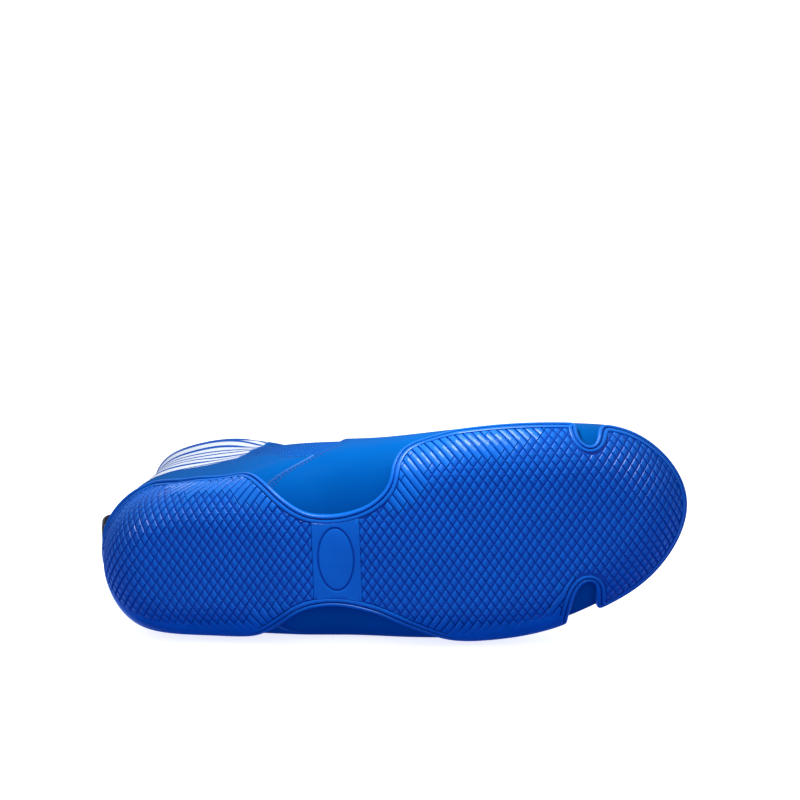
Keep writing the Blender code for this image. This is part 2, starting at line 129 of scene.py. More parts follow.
# The heel panel's top edge: the share of the way from the heel to the seam, and the row
TopPoint = namedtuple("TopPoint", "share row")
HEEL_TOP = (
    TopPoint(0.0, 1.36), TopPoint(0.6, 1.40), TopPoint(0.69, 1.34), TopPoint(0.76, 1.24),
    TopPoint(0.83, 1.12), TopPoint(0.89, 1.02), TopPoint(1.0, 0.86),
)

# Cuts in the sole's outline, seen from below: station and offset, positive on the medial side
MEDIAL_ARCH = (
    (60, 60), (62, 40), (66, 35), (72, 34.2), (77.7, 33.6), (83, 32.2), (87, 30), (91, 26.9), (95, 23),
    (100.5, 18), (105.3, 14.5), (110, 12.4), (116, 11.4), (122, 11.2), (128, 12), (134.8, 13.9), (140, 16.5),
    (144, 19.5), (147.1, 23), (148.9, 27), (149.6, 31), (151, 34.6), (154, 38.6), (158, 41.2), (163.5, 42.6),
    (170, 44.5), (176, 60),
)
LATERAL_ARCH = (
    (44, -64), (54, -56.5), (63, -52.6), (70, -49.9), (76, -47.2), (82, -44.3), (87, -41.6), (91.5, -39),
    (95.5, -36.8), (99.5, -35), (104.5, -33.8), (110, -33.5), (116, -33.8), (122.5, -35), (129, -36.9),
    (135.5, -39.2), (141, -42), (147, -45.4), (153, -48.6), (160, -52.2), (168, -56.2), (177, -60.8),
    (186, -66), (192, -72),
)
MEDIAL_NOTCH = (
    (237.8, 56), (238.6, 44), (239.2, 40), (240.2, 37), (242.2, 34.4), (244.8, 33.2), (247, 34), (248, 36.6),
    (248.4, 40), (248.9, 56),
)
LATERAL_NOTCH = (
    (222.5, -62), (226.7, -49.1), (229.4, -41.9), (232.4, -35.4), (235.6, -31.8), (238.5, -30.9),
    (240.8, -32), (241.4, -36), (240.6, -43), (239, -62),
)

# The tread: diamonds between two families of grooves
TREAD_TURN = math.radians(4.1)
GROOVE_DEGREES = 55.0
GROOVE_PITCH = 3.52
GROOVE_HALF = 0.06
GROOVE_DEPTH = 0.8
HEEL_CROSSING = np.array((66.1, 4.9))
FOREFOOT_CROSSING = np.array((195.8, 3.0))
BRIDGE = (107.9, 131.8)
OVAL_CENTRE = np.array((119.5, 1.95))
OVAL_HALF = np.array((9.1, 15.2))


def hermite(t, first, second, slope_first, slope_second):
    """A smooth step between two values, with a slope at each."""
    start = (1 + 2 * t) * (1 - t) ** 2 * first + t * (1 - t) ** 2 * slope_first
    return start + (t * t * (3 - 2 * t) * second + t * t * (t - 1) * slope_second)


def bend(x):
    """How far the bottom of the shoe is lifted at a station."""
    toe = TOE_SPRING * np.maximum(0.0, (x - TOE_SPRING_FROM) / (SHOE_LENGTH - TOE_SPRING_FROM)) ** 2
    heel = HEEL_RISE * np.maximum(0.0, (HEEL_RISE_FROM - x) / HEEL_RISE_FROM) ** 2
    along = np.clip((x - ARCH_SPAN[0]) / (ARCH_SPAN[1] - ARCH_SPAN[0]), 0.0, 1.0)
    return toe + heel + ARCH_LIFT * np.sin(np.pi * along) ** 2


class Loop:
    """A smooth closed line through one table: 0 at the heel back, 1 at the toe tip, 2 at the heel again."""

    def __init__(self, ribs):
        lateral = [(rib.x, rib.lateral, rib.height) for rib in ribs]
        medial = [(rib.x, rib.medial, rib.height) for rib in ribs]
        self.points = np.array(lateral + medial[-2:0:-1], float)
        self.count = len(self.points)
        rows = np.eye(self.count)
        weights = 4 * rows + np.roll(rows, 1, 1) + np.roll(rows, -1, 1)
        ahead = np.roll(self.points, -1, 0)
        behind = np.roll(self.points, 1, 0)
        self.slopes = np.linalg.solve(weights, 3 * (ahead - behind))

    def at(self, around):
        place = np.mod(around, 2.0) * self.count / 2
        first = np.floor(place).astype(int) % self.count
        second = (first + 1) % self.count
        t = (place - np.floor(place))[..., None]
        return hermite(t, self.points[first], self.points[second], self.slopes[first], self.slopes[second])


lasting_edge = Loop(LASTING_EDGE)
widest_line = Loop(WIDEST_LINE)
side_swell = Loop(SIDE_SWELL)
instep_turn = Loop(INSTEP_TURN)
top_line = Loop(TOP_LINE)

# The step by which slopes of the upper's surface are measured
SLOPE_STEP = 0.004


def skin(around, row):
    """Points on the outer face of the upper."""
    around, row = np.broadcast_arrays(np.asarray(around, float), np.asarray(row, float))
    edge = lasting_edge.at(around)
    wide = widest_line.at(around)
    angle = np.clip(row, 0.0, 1.0) * np.pi / 2
    out = np.sin(angle) ** (2 / FEATHER_POWER)
    up = 1 - np.maximum(np.cos(angle), 0.0) ** (2 / FEATHER_POWER)
    feather = edge + (wide - edge) * np.stack((out, out, up), -1)
    u = np.clip(row - 1.0, 0.0, 1.0)[..., None]
    side = (1 - u) ** 3 * wide + 3 * u * (1 - u) ** 2 * side_swell.at(around)
    side = side + 3 * u * u * (1 - u) * instep_turn.at(around) + u ** 3 * top_line.at(around)
    point = np.where((row <= 1.0)[..., None], feather, side)
    point[..., 2] += bend(point[..., 0])
    return point


def unit(vectors):
    """The same directions at length one."""
    return vectors / np.maximum(np.linalg.norm(vectors, axis=-1, keepdims=True), 1e-9)


def outward(around, row):
    """The directions that point out of the upper."""
    around, row = np.broadcast_arrays(np.asarray(around, float), np.asarray(row, float))
    low = np.minimum(np.maximum(row - SLOPE_STEP, 0.0), 2.0 - 2 * SLOPE_STEP)
    along = skin(around + SLOPE_STEP, row) - skin(around - SLOPE_STEP, row)
    across = skin(around, low + 2 * SLOPE_STEP) - skin(around, low)
    return unit(np.cross(across, along))


def lifted(around, row, offset):
    """Points at a distance outside the upper's outer face."""
    return skin(around, row) + outward(around, row) * np.asarray(offset, float)[..., None]


def eased(places, known, values):
    """Values at places between known ones, on a smooth line that doesn't overshoot."""
    known, values = np.array(known, float), np.array(values, float)
    steps = np.diff(values) / np.diff(known)
    flat = steps[:-1] * steps[1:] <= 0
    inner = np.where(flat, 0.0, 2 * steps[:-1] * steps[1:] / np.where(flat, 1.0, steps[:-1] + steps[1:]))
    slopes = np.concatenate((steps[:1], inner, steps[-1:]))
    places = np.clip(np.asarray(places, float), known[0], known[-1])
    index = np.clip(np.searchsorted(known, places) - 1, 0, len(steps) - 1)
    width = known[index + 1] - known[index]
    t = (places - known[index]) / width
    return hermite(t, values[index], values[index + 1], slopes[index] * width, slopes[index + 1] * width)


def from_heel(around):
    """How far round a place lies from the back of the heel, on either side."""
    return 1.0 - np.abs(np.mod(around, 2.0) - 1.0)


def rim_row(around):
    """The row that the rubber reaches: high round the heel, low along the sides and the toe."""
    away = from_heel(around)
    medial = eased(away, HEEL_RIM_ENDS, (HEEL_RIM_ROW, RIM_ROW))
    rows = (HEEL_RIM_ROW, LATERAL_RIM_ROW, LATERAL_RIM_ROW, RIM_ROW)
    lateral = eased(away, LATERAL_RIM_ENDS + TOE_RIM_ENDS, rows)
    return np.where(np.mod(around, 2.0) > 1.0, medial, lateral)


def seam(row):
    """Where the slanted seam between the two leather panels stands at a row."""
    return eased(row, *zip(*SEAM))


def lying_turn():
    """The turn and shift from the standing frame to the lying one, from the record's two tread mounts."""
    mounts = {mount["name"]: mount for mount in frame["record"]["mounts"]}
    heel = np.array(mounts["heel_tread"]["pos_m"])
    fore = np.array(mounts["forefoot_tread"]["pos_m"])
    up = -unit(np.array(mounts["heel_tread"]["axis"]))
    ahead = unit(fore - heel - up * np.dot(fore - heel, up))
    flat_ahead = unit(FOREFOOT_MOUNT - HEEL_MOUNT)
    lying = np.stack((ahead, np.cross(up, ahead), up), 1)
    standing = np.stack((flat_ahead, np.cross((0, 0, 1), flat_ahead), (0, 0, 1)), 1)
    turn = lying @ standing.T
    return turn, heel - turn @ HEEL_MOUNT * MM


TURN, SHIFT = lying_turn()


def lie(points):
    """Standing millimetres as lying metres."""
    return np.asarray(points) @ TURN.T * MM + SHIFT


# Making meshes

WELD_DISTANCE = 0.00002


def pick(piece):
    """Makes a piece the only selected one."""
    bpy.ops.object.select_all(action="DESELECT")
    piece.select_set(True)
    bpy.context.view_layer.objects.active = piece


def read_points(piece):
    points = np.empty(len(piece.data.vertices) * 3)
    piece.data.vertices.foreach_get("co", points)
    return points.reshape(-1, 3)


def write_points(piece, points):
    piece.data.vertices.foreach_set("co", np.asarray(points, float).ravel())
    piece.data.update()


def write_uv(piece, name, values):
    """A UV map from one pair of values for each vertex."""
    corners = np.empty(len(piece.data.loops), int)
    piece.data.loops.foreach_get("vertex_index", corners)
    layer = piece.data.uv_layers.get(name) or piece.data.uv_layers.new(name=name)
    layer.data.foreach_set("uv", np.asarray(values, float)[corners].ravel())


def write_mark(piece, name, values):
    """An attribute from one value for each vertex."""
    mark = piece.data.attributes.new(name, "FLOAT", "POINT")
    mark.data.foreach_set("value", values.astype(np.float32))


def add_grid(name, across, up):
    """A flat grid primitive of that many cells, and the shares from 0 to 1 of its points."""
    bpy.ops.object.select_all(action="DESELECT")
    bpy.ops.mesh.primitive_grid_add(x_subdivisions=across, y_subdivisions=up, size=2)
    piece = bpy.context.object
    piece.name = name
    piece.data.name = name
    shares = (read_points(piece)[:, :2] + 1) / 2
    return piece, shares[:, 0], shares[:, 1]


def spread(share, values):
    """The value at a share of the way along a list."""
    return np.interp(share, np.linspace(0, 1, len(values)), values)


def run_lengths(points, axis):
    """Lengths along a grid's lines from their start."""
    steps = np.linalg.norm(np.diff(points, axis=axis), axis=-1)
    start = np.zeros_like(np.take(steps, [0], axis=axis))
    return np.concatenate((start, np.cumsum(steps, axis=axis)), axis=axis)


def interpolate(at, lengths, values):
    """Rows of values at lengths along a line."""
    return np.column_stack([np.interp(at, lengths, column) for column in values.T])


def weld(piece):
    """Merges points that lie on each other."""
    pick(piece)
    bpy.ops.object.mode_set(mode="EDIT")
    bpy.ops.mesh.select_all(action="SELECT")
    bpy.ops.mesh.remove_doubles(threshold=WELD_DISTANCE)
    bpy.ops.object.mode_set(mode="OBJECT")


def apply(piece, kind, **settings):
    """Adds a modifier with these settings and applies it."""
    pick(piece)
    made = piece.modifiers.new(kind.lower(), kind)
    for name, value in settings.items():
        setattr(made, name, value)
    bpy.ops.object.modifier_apply(modifier=made.name)


def soften(piece, degrees):
    pick(piece)
    bpy.ops.object.shade_smooth_by_angle(angle=math.radians(degrees))


def from_arrays(name, points, faces):
    """A piece from points in the standing frame and lists of corners."""
    mesh = bpy.data.meshes.new(name)
    mesh.from_pydata(lie(points).tolist(), [], faces)
    piece = bpy.data.objects.new(name, mesh)
    bpy.context.scene.collection.objects.link(piece)
    return piece


def shape_of(add, **sizes):
    """The points and faces of a primitive, which is taken away again."""
    bpy.ops.object.select_all(action="DESELECT")
    add(**sizes)
    piece = bpy.context.object
    points = read_points(piece)
    faces = [list(polygon.vertices) for polygon in piece.data.polygons]
    bpy.data.objects.remove(piece)
    return points, faces


def set_copies(name, shape, shape_faces, places, turns):
    """A piece of many copies of one shape, each turned and set in its place."""
    points = np.vstack([place + shape @ turn.T for place, turn in zip(places, turns)])
    starts = range(0, len(points), len(shape))
    faces = [[corner + start for corner in face] for start in starts for face in shape_faces]
    piece = from_arrays(name, points, faces)
    soften(piece, 80)
    return piece


def tube_faces(start, rings, count):
    """Quads between rings of points that follow each other."""
    firsts = range(start, start + (rings - 1) * count, count)
    quads = [(at, (at + 1) % count, count + (at + 1) % count, count + at) for at in range(count)]
    return [[first + corner for corner in quad] for first in firsts for quad in quads]


def flipped(faces):
    return [face[::-1] for face in faces]


def finish_piece(piece, finish, slot, *nodes):
    """Gives a piece its material and body, and hides the CAD nodes that it stands for. The slot is not used.
    """
    piece.data.materials.clear()
    piece.data.materials.append(finish)
    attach(piece, "root")
    if nodes:
        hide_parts(*nodes)


# Materials

RUBBER = ((0.0002, 0.097, 0.42), (0.0002, 0.110, 0.468))
# The rubber's colour in painted shade at the bottom of the grooves
RUBBER_GROOVE_SHADE = (0.0002, 0.056, 0.35)
LEATHER = ((0.0001, 0.067, 0.262), (0.0001, 0.075, 0.29))
LEATHER_CUT = (0.10, 0.24, 0.56)
ANKLE_WHITE = (0.64, 0.67, 0.72)
ANKLE_HOOP = (0.003, 0.075, 0.36)
MESH = (0.0005, 0.085, 0.37)
MESH_HOLE = (0.0005, 0.010, 0.08)
MESH_BORDER = (0.001, 0.085, 0.37)
COLLAR_BINDING = (0.012, 0.085, 0.40)

# Where the second shade of an effect begins and where it is full
MOTTLE = (0.3, 0.7)
KNIT_GAP = (0.1, 0.6)
RIB_EDGE = (-0.9, 0.4)

# Cloth sizes in millimetres, and the soft edges of stripes and holes as shares
HOOP_PITCH = 7.0
HOOP_WIDTH = 2.5
HOLE_PITCH = 1.9
THREAD_PITCH = 0.45
THREAD_WIDTH = 0.2
STRIPE_EDGE = 0.15
HOLE_EDGE = (0.2, 0.34)
MESH_EDGE = 0.0015
BORDER_EDGE = (0.004, 0.006)
# Groove depths in millimetres over which the painted shade comes in
GROOVE_SHADE = (0.16, 0.6)

# Where the mesh begins, as a place from the heel that moves with the row, and where the binding begins
MESH_FROM = 0.175
MESH_SLANT = 0.1
BINDING_ROWS = (1.905, 1.908)


class Nodes:
    """A node tree, with short ways to add to it."""

    def __init__(self, tree):
        self.tree = tree

    def join(self, value, socket):
        """Sets a socket from another one, or to a number or a colour."""
        if isinstance(value, bpy.types.NodeSocket):
            self.tree.links.new(value, socket)
        else:
            socket.default_value = (*value, 1.0) if isinstance(value, tuple) else value

    def put(self, kind, result, inputs, **settings):
        """Adds a node with these inputs and settings, and gives one of its outputs."""
        made = self.tree.nodes.new("ShaderNode" + kind)
        for name, value in settings.items():
            setattr(made, name, value)
        for name, value in inputs.items():
            self.join(value, made.inputs[name])
        return made.outputs[result]

    def sum(self, operation, *values):
        """One sum on values or sockets."""
        return self.put("Math", 0, dict(enumerate(values)), operation=operation)

    def blend(self, share, first, second):
        """A mix of two colours."""
        return self.put("Mix", 2, {0: share, 6: first, 7: second}, data_type="RGBA")

    def ramp(self, value, low, high):
        """A soft step from 0 to 1 between two values."""
        inputs = {"Value": value, "From Min": low, "From Max": high}
        return self.put("MapRange", "Result", inputs, interpolation_type="SMOOTHSTEP")

    def noise(self, scale, detail=3.0):
        return self.put("TexNoise", "Fac", {"Vector": self.coords(), "Scale": scale, "Detail": detail})

    def cells(self, scale, **settings):
        return self.put("TexVoronoi", "Distance", {"Vector": self.coords(), "Scale": scale}, **settings)

    def split(self, vector):
        """The first two values of a vector."""
        first = self.put("SeparateXYZ", "X", {"Vector": vector})
        return first, first.node.outputs["Y"]


class Group(Nodes):
    """An effect that more than one finish uses: two shades on a pattern, and the pattern itself."""

    INPUTS = {"Vector": "Vector", "Scale": "Float", "First": "Color", "Second": "Color"}
    OUTPUTS = {"Colour": "Color", "Height": "Float"}

    def __init__(self, name):
        super().__init__(bpy.data.node_groups.new(name, "ShaderNodeTree"))
        for side, sockets in (("INPUT", self.INPUTS), ("OUTPUT", self.OUTPUTS)):
            for socket, kind in sockets.items():
                self.tree.interface.new_socket(socket, in_out=side, socket_type="NodeSocket" + kind)
        self.given = self.tree.nodes.new("NodeGroupInput").outputs
        self.results = self.tree.nodes.new("NodeGroupOutput").inputs

    def coords(self):
        return self.given["Vector"]

    def give(self, share, height):
        """Joins up the outputs: the second shade's share in the colour, and the height."""
        colour = self.blend(share, self.given["First"], self.given["Second"])
        self.join(colour, self.results["Colour"])
        self.join(height, self.results["Height"])
        return self.tree


class Finish(Nodes):
    """A material and its Principled shader, with the values that are the same all over."""

    def __init__(self, name, **values):
        self.material = bpy.data.materials.new(name)
        self.material.use_nodes = True
        super().__init__(self.material.node_tree)
        self.set(**values)

    def set(self, **values):
        """Sets sockets of the shader, which have spaces where these names have underscores."""
        shader = self.tree.nodes["Principled BSDF"]
        for name, value in values.items():
            self.join(value, shader.inputs[name.replace("_", " ")])

    def coords(self):
        return self.put("TexCoord", "Object", {})

    def uv(self, name):
        return self.put("UVMap", "UV", {}, uv_map=name)

    def mark(self, name):
        return self.put("Attribute", "Fac", {}, attribute_name=name)

    def effect(self, group, vector, scale, first, second):
        """Places a group with its own values, and gives its colour and its height."""
        inputs = {"Vector": vector, "Scale": scale, "First": first, "Second": second}
        colour = self.put("Group", "Colour", inputs, node_tree=group)
        return colour, colour.node.outputs["Height"]

    def bump(self, height, strength, distance):
        inputs = {"Height": height, "Strength": strength, "Distance": distance}
        self.set(Normal=self.put("Bump", "Normal", inputs))

    def stripes(self, value, pitch, width):
        """1 on lines of a width that repeat at a pitch, in the value's own unit."""
        share = self.sum("FRACT", self.sum("DIVIDE", value, pitch))
        near = self.sum("ABSOLUTE", self.sum("SUBTRACT", share, 0.5))
        half = width / pitch / 2
        edge = STRIPE_EDGE * half
        return self.sum("SUBTRACT", 1.0, self.ramp(near, half - edge, half + edge))

    def dots(self, u, v, pitch):
        """1 in round holes on a staggered grid."""
        squares = []
        for operation in ("ADD", "SUBTRACT"):
            share = self.sum("FRACT", self.sum("DIVIDE", self.sum(operation, u, v), pitch * math.sqrt(2)))
            squares.append(self.sum("POWER", self.sum("SUBTRACT", share, 0.5), 2.0))
        away = self.sum("SQRT", self.sum("ADD", *squares))
        return self.sum("SUBTRACT", 1.0, self.ramp(away, *HOLE_EDGE))


def mottle_group():
    """Soft clouds of two shades."""
    made = Group("mottle")
    cloud = made.noise(made.given["Scale"])
    return made.give(made.ramp(cloud, *MOTTLE), cloud)


def knit_group():
    """Small round loops, with the second shade in the gaps between them."""
    made = Group("knit")
    away = made.cells(made.given["Scale"])
    return made.give(made.ramp(away, *KNIT_GAP), made.sum("SUBTRACT", 1.0, away))


def herringbone_group():
    """Slanted ribs that meet along the middle of a tape, with the first shade between them."""
    made = Group("herringbone")
    across, along = made.split(made.coords())
    slant = made.sum("ADD", along, made.sum("ABSOLUTE", across))
    ribs = made.sum("SINE", made.sum("MULTIPLY", slant, made.given["Scale"]))
    return made.give(made.ramp(ribs, *RIB_EDGE), ribs)


mottle = mottle_group()
knit = knit_group()
herringbone = herringbone_group()


def rubber_material():
    """Satin rubber with painted shade at the bottom of the grooves, a slight cloudiness and a fine skin."""
    made = Finish("rubber", Specular_IOR_Level=0.2)
    face, cloud = made.effect(mottle, made.coords(), 60.0, *RUBBER)
    # Painted shade: the colour darkens towards the bottom of the grooves
    colour = made.blend(made.ramp(made.mark("depth"), *GROOVE_SHADE), face, RUBBER_GROOVE_SHADE)
    made.set(Base_Color=colour, Roughness=made.sum("MULTIPLY_ADD", cloud, 0.14, 0.25))
    made.bump(made.noise(scale=2600.0, detail=2.0), strength=0.25, distance=0.0001)
    return made.material


def leather_material():
    """Smooth coated leather with a fine pebble grain and a paler cut edge."""
    made = Finish("leather", Specular_IOR_Level=0.01)
    face = made.effect(mottle, made.coords(), 28.0, *LEATHER)[0]
    fine = made.noise(scale=420.0, detail=4.0)
    rough = made.sum("MULTIPLY_ADD", fine, 0.18, 0.34)
    made.set(Base_Color=made.blend(made.mark("edge"), face, LEATHER_CUT), Roughness=rough)
    pebble = made.cells(scale=1150.0, feature="SMOOTH_F1")
    made.bump(made.sum("MULTIPLY_ADD", fine, 0.6, pebble), strength=0.12, distance=0.0002)
    return made.material


def upper_material():
    """White coated ankle cloth with fine hoops, blue holed mesh ahead of it, and a blue collar binding."""
    made = Finish("upper_cloth", Roughness=0.62, Specular_IOR_Level=0.04)
    around, row = made.split(made.uv("shoe"))
    across, up = made.split(made.uv("cloth"))
    away = made.sum("SUBTRACT", 1.0, made.sum("ABSOLUTE", made.sum("SUBTRACT", around, 1.0)))
    ahead = made.sum("SUBTRACT", away, made.sum("MULTIPLY_ADD", row, MESH_SLANT, MESH_FROM))
    mesh_share = made.ramp(ahead, -MESH_EDGE, MESH_EDGE)
    hole = made.dots(across, up, HOLE_PITCH)
    ankle = made.blend(made.stripes(up, HOOP_PITCH, HOOP_WIDTH), ANKLE_WHITE, ANKLE_HOOP)
    colour = made.blend(mesh_share, ankle, made.blend(hole, MESH, MESH_HOLE))
    border = made.sum("SUBTRACT", 1.0, made.ramp(made.sum("ABSOLUTE", ahead), *BORDER_EDGE))
    colour = made.blend(border, colour, MESH_BORDER)
    made.set(Base_Color=made.blend(made.ramp(row, *BINDING_ROWS), colour, COLLAR_BINDING))
    threads = [made.stripes(value, THREAD_PITCH, THREAD_WIDTH) for value in (across, up)]
    weave = made.sum("MULTIPLY", made.sum("ADD", *threads), 0.25)
    height = made.sum("SUBTRACT", weave, made.sum("MULTIPLY", hole, mesh_share))
    height = made.sum("MULTIPLY_ADD", made.noise(scale=900.0), 0.3, height)
    made.bump(height, strength=0.5, distance=0.0003)
    return made.material


def knit_material(name, colour, dark, pitch):
    """A brushed knit on the piece's own coordinates."""
    made = Finish(name, Roughness=0.85, Sheen_Weight=0.3)
    shades, loops = made.effect(knit, made.coords(), 1.0 / (pitch * MM), colour, dark)
    made.set(Base_Color=shades)
    made.bump(loops, strength=0.4, distance=0.0004)
    return made.material


def woven_material(name, colour, dark, pitch):
    """Flat woven tape in a herringbone, on the cloth map."""
    made = Finish(name, Roughness=0.8)
    shades, ribs = made.effect(herringbone, made.uv("cloth"), 2 * math.pi / pitch, dark, colour)
    made.set(Base_Color=shades)
    made.bump(ribs, strength=0.5, distance=0.0003)
    return made.material


def plain_material(name, colour, roughness, grain):
    """An even finish with a slight mottle."""
    made = Finish(name, Roughness=roughness)
    darker = tuple(0.8 * part for part in colour)
    made.set(Base_Color=made.effect(mottle, made.coords(), grain, darker, colour)[0])
    return made.material


# The sole, worked out on its unrolled sheet

EDGE_COUNT = 720
EDGE_STEP = 2.0 / EDGE_COUNT
edge_around = np.linspace(0, 2, EDGE_COUNT, endpoint=False)
edge_line = lasting_edge.at(edge_around)[:, :2]
edge_out = unit(widest_line.at(edge_around)[:, :2] - edge_line)
arc_rows = np.linspace(0.0, 1.2, 73)


def sole_face(row):
    """How far the tread side lies outside the upper: the rubber thins towards the wrapped edge."""
    share = np.minimum(row / RIM_ROW, 1.0)
    return SOLE_IN + TREAD_PLATE + (SOLE_WALL - TREAD_PLATE) * share * share * (3 - 2 * share)


arc_lengths = run_lengths(lifted(edge_around[:, None], arc_rows[None, :], sole_face(arc_rows)[None, :]), 1)


def edge_normals(line):
    """Directions to the left of a closed line."""
    ahead = unit(np.roll(line, -1, 0) - np.roll(line, 1, 0))
    return np.stack((-ahead[:, 1], ahead[:, 0]), -1)


# How many places are worked out at a time
BATCH = 3000


def in_batches(places):
    return [places[start:start + BATCH] for start in range(0, len(places), BATCH)] or [places]


def nearest_on(line, points):
    """For each point: the nearest place on a closed line as a whole and a share, and the signed distance.

    The distance is positive on the left of the line.
    """
    ahead = np.roll(line, -1, 0) - line
    squared = np.maximum((ahead ** 2).sum(-1), 1e-12)
    index = np.concatenate([
        ((part[:, None] - line[None]) ** 2).sum(-1).argmin(1) for part in in_batches(points)
    ])
    best = np.full(len(points), np.inf)
    best_index = index.copy()
    best_share = np.zeros(len(points))
    for first in ((index - 1) % len(line), index):
        share = np.clip(((points - line[first]) * ahead[first]).sum(-1) / squared[first], 0, 1)
        away = np.linalg.norm(points - line[first] - ahead[first] * share[:, None], axis=-1)
        closer = away < best
        best = np.where(closer, away, best)
        best_index = np.where(closer, first, best_index)
        best_share = np.where(closer, share, best_share)
    foot = line[best_index] + ahead[best_index] * best_share[:, None]
    away = points - foot
    side = ahead[best_index, 0] * away[:, 1] - ahead[best_index, 1] * away[:, 0]
    return best_index, best_share, np.where(side > 0, best, -best)


def sheet_place(flat):
    """Where places on the unrolled sheet lie: index and share round the lasting edge, and the distance out.

    Outside the lasting edge the sheet is ruled by straight lines, which are the shoe's own rows laid flat.
    """
    index, share, distance = nearest_on(edge_line, flat)
    outside = np.flatnonzero(distance > 0)
    for part in in_batches(outside):
        away = flat[part, None] - edge_line[None]
        side = edge_out[None, :, 0] * away[..., 1] - edge_out[None, :, 1] * away[..., 0]
        out = (away * edge_out[None]).sum(-1)
        after = np.roll(side, -1, 1)
        between = side / np.where(np.abs(side - after) < 1e-9, 1.0, side - after)
        out = out * (1 - between) + np.roll(out, -1, 1) * between
        crosses = (side * after <= 0) & (out > -0.5)
        choice = np.where(crosses, out, np.inf).argmin(1)
        each = np.arange(len(part))
        found = crosses[each, choice]
        index[part] = np.where(found, choice, index[part])
        share[part] = np.where(found, between[each, choice], share[part])
        distance[part] = np.where(found, np.maximum(out[each, choice], 0.001), distance[part])
    return index, share, distance


# Where the rubber thins out: stations along, offsets on the lateral side, and by how much
THIN_STATIONS = (48.0, 70.0, 162.0, 184.0)
THIN_OFFSETS = (28.0, 45.0)
THINNEST = 2.3


def arch_thinning(flat):
    """How much the rubber thins out where the lateral arch runs into the floor."""
    along = eased(flat[:, 0], THIN_STATIONS, (0.0, 1.0, 1.0, 0.0))
    return THINNEST * along * eased(-flat[:, 1], THIN_OFFSETS, (0.0, 1.0))


def sole_point(flat, height=0.0, inner=False):
    """Points of the sole from places on its unrolled sheet, at a height over the tread's face."""
    flat = np.asarray(flat, float)
    height = np.broadcast_to(height, len(flat))
    index, share, distance = sheet_place(flat)
    after = (index + 1) % EDGE_COUNT
    lengths = arc_lengths[index] * (1 - share[:, None]) + arc_lengths[after] * share[:, None]
    step = np.clip((lengths < distance[:, None]).sum(1), 1, len(arc_rows) - 1)
    each = np.arange(len(flat))
    low = lengths[each, step - 1]
    part = np.clip((distance - low) / (lengths[each, step] - low), 0.0, 1.0)
    row = np.clip(arc_rows[step - 1] + part * arc_rows[1], 0.0, arc_rows[-1])
    around = edge_around[index] + share * EDGE_STEP
    offset = np.full(len(flat), SOLE_IN) if inner else sole_face(row) + height - arch_thinning(flat)
    wrapped = lifted(around, row, offset)
    plate_offset = SOLE_IN if inner else SOLE_IN + TREAD_PLATE + height
    slope = bend(flat[:, 0] + 0.5) - bend(flat[:, 0] - 0.5)
    depth = plate_offset / np.sqrt(1.0 + slope ** 2)
    plate = np.column_stack((flat[:, 0] + depth * slope, flat[:, 1], LAST_HEIGHT + bend(flat[:, 0]) - depth))
    return np.where((distance > 0)[:, None], wrapped, plate)


# How a cut is drawn, and then laid flat by trial
CUT_STEPS = 4
UNROLL_ROUNDS = 40
UNROLL_PULL = 0.8
UNROLL_REACH = 25


def smooth_line(points):
    """A smooth open line through a cut's points."""
    points = np.array(points, float)
    line = []
    final = len(points) - 1
    for index in range(final):
        before, start, end, after = points[np.clip(index + np.arange(-1, 3), 0, final)]
        for t in np.arange(CUT_STEPS) / CUT_STEPS:
            line.append(hermite(t, start, end, (end - before) / 2, (after - start) / 2))
    return np.array(line + [points[-1]])


def unrolled(plan):
    """Places on the unrolled sheet whose points lie at these stations and offsets."""
    flat = plan.copy()
    for _ in range(UNROLL_ROUNDS):
        flat = flat + UNROLL_PULL * (plan - sole_point(flat)[:, :2])
        flat = plan + np.clip(flat - plan, -UNROLL_REACH, UNROLL_REACH)
    return flat


def resample(line, spacing):
    """A closed line with evenly spaced points."""
    closed = np.vstack((line, line[:1]))
    lengths = run_lengths(closed[None], 1)[0]
    places = np.linspace(0, lengths[-1], int(lengths[-1] / spacing), endpoint=False)
    return interpolate(places, lengths, closed)


def smoothed(line, times, pull=0.5):
    """A closed line with its corners eased."""
    for _ in range(times):
        line = line + pull * ((np.roll(line, 1, 0) + np.roll(line, -1, 0)) / 2 - line)
    return line


OUTLINE_SPACING = 0.8
OUTLINE_PASSES = 14
INWARD_STEP = 0.2

# Where the corners at the arches' ends are eased: stations on the medial and on the lateral side
ARCH_CORNERS = (
    ((52.0, 62.0, 84.0, 94.0), (150.0, 158.0, 170.0, 178.0)),
    ((54.0, 64.0, 86.0, 96.0), (146.0, 156.0, 176.0, 186.0)),
)
CORNER_PASSES = 150


def sole_outline():
    """The sole's edge on the unrolled sheet, with the arches and notches cut in and their corners rounded."""
    rows = rim_row(edge_around)
    rim_lengths = np.array([np.interp(row, arc_rows, lengths) for row, lengths in zip(rows, arc_lengths)])
    rim = edge_line + edge_out * rim_lengths[:, None]
    flip = np.array((1.0, -1.0))
    cuts = [smooth_line(LATERAL_ARCH), smooth_line(LATERAL_NOTCH)]
    cuts += [smooth_line(MEDIAL_NOTCH)[::-1], smooth_line(MEDIAL_ARCH)[::-1]]
    outline = []
    done = 0.0
    for cut in cuts:
        flat = unrolled(cut * flip)
        index, share, distance = sheet_place(flat)
        inside = np.flatnonzero(distance < rim_lengths[index])
        around = edge_around[index] + share * EDGE_STEP
        first, last = inside[0], inside[-1]
        outline.append(rim[(edge_around >= done) & (edge_around < around[first])])
        outline.append(flat[first:last + 1])
        done = around[last]
    outline.append(rim[edge_around >= done])
    line = smoothed(resample(np.vstack(outline), OUTLINE_SPACING), OUTLINE_PASSES)
    windows = np.where(line[:, 1] < 0, *[
        sum(eased(line[:, 0], window, (0.0, 1.0, 1.0, 0.0)) for window in side) for side in ARCH_CORNERS
    ])[:, None]
    line = line * (1 - windows) + smoothed(line, CORNER_PASSES) * windows
    return resample(line, OUTLINE_SPACING)


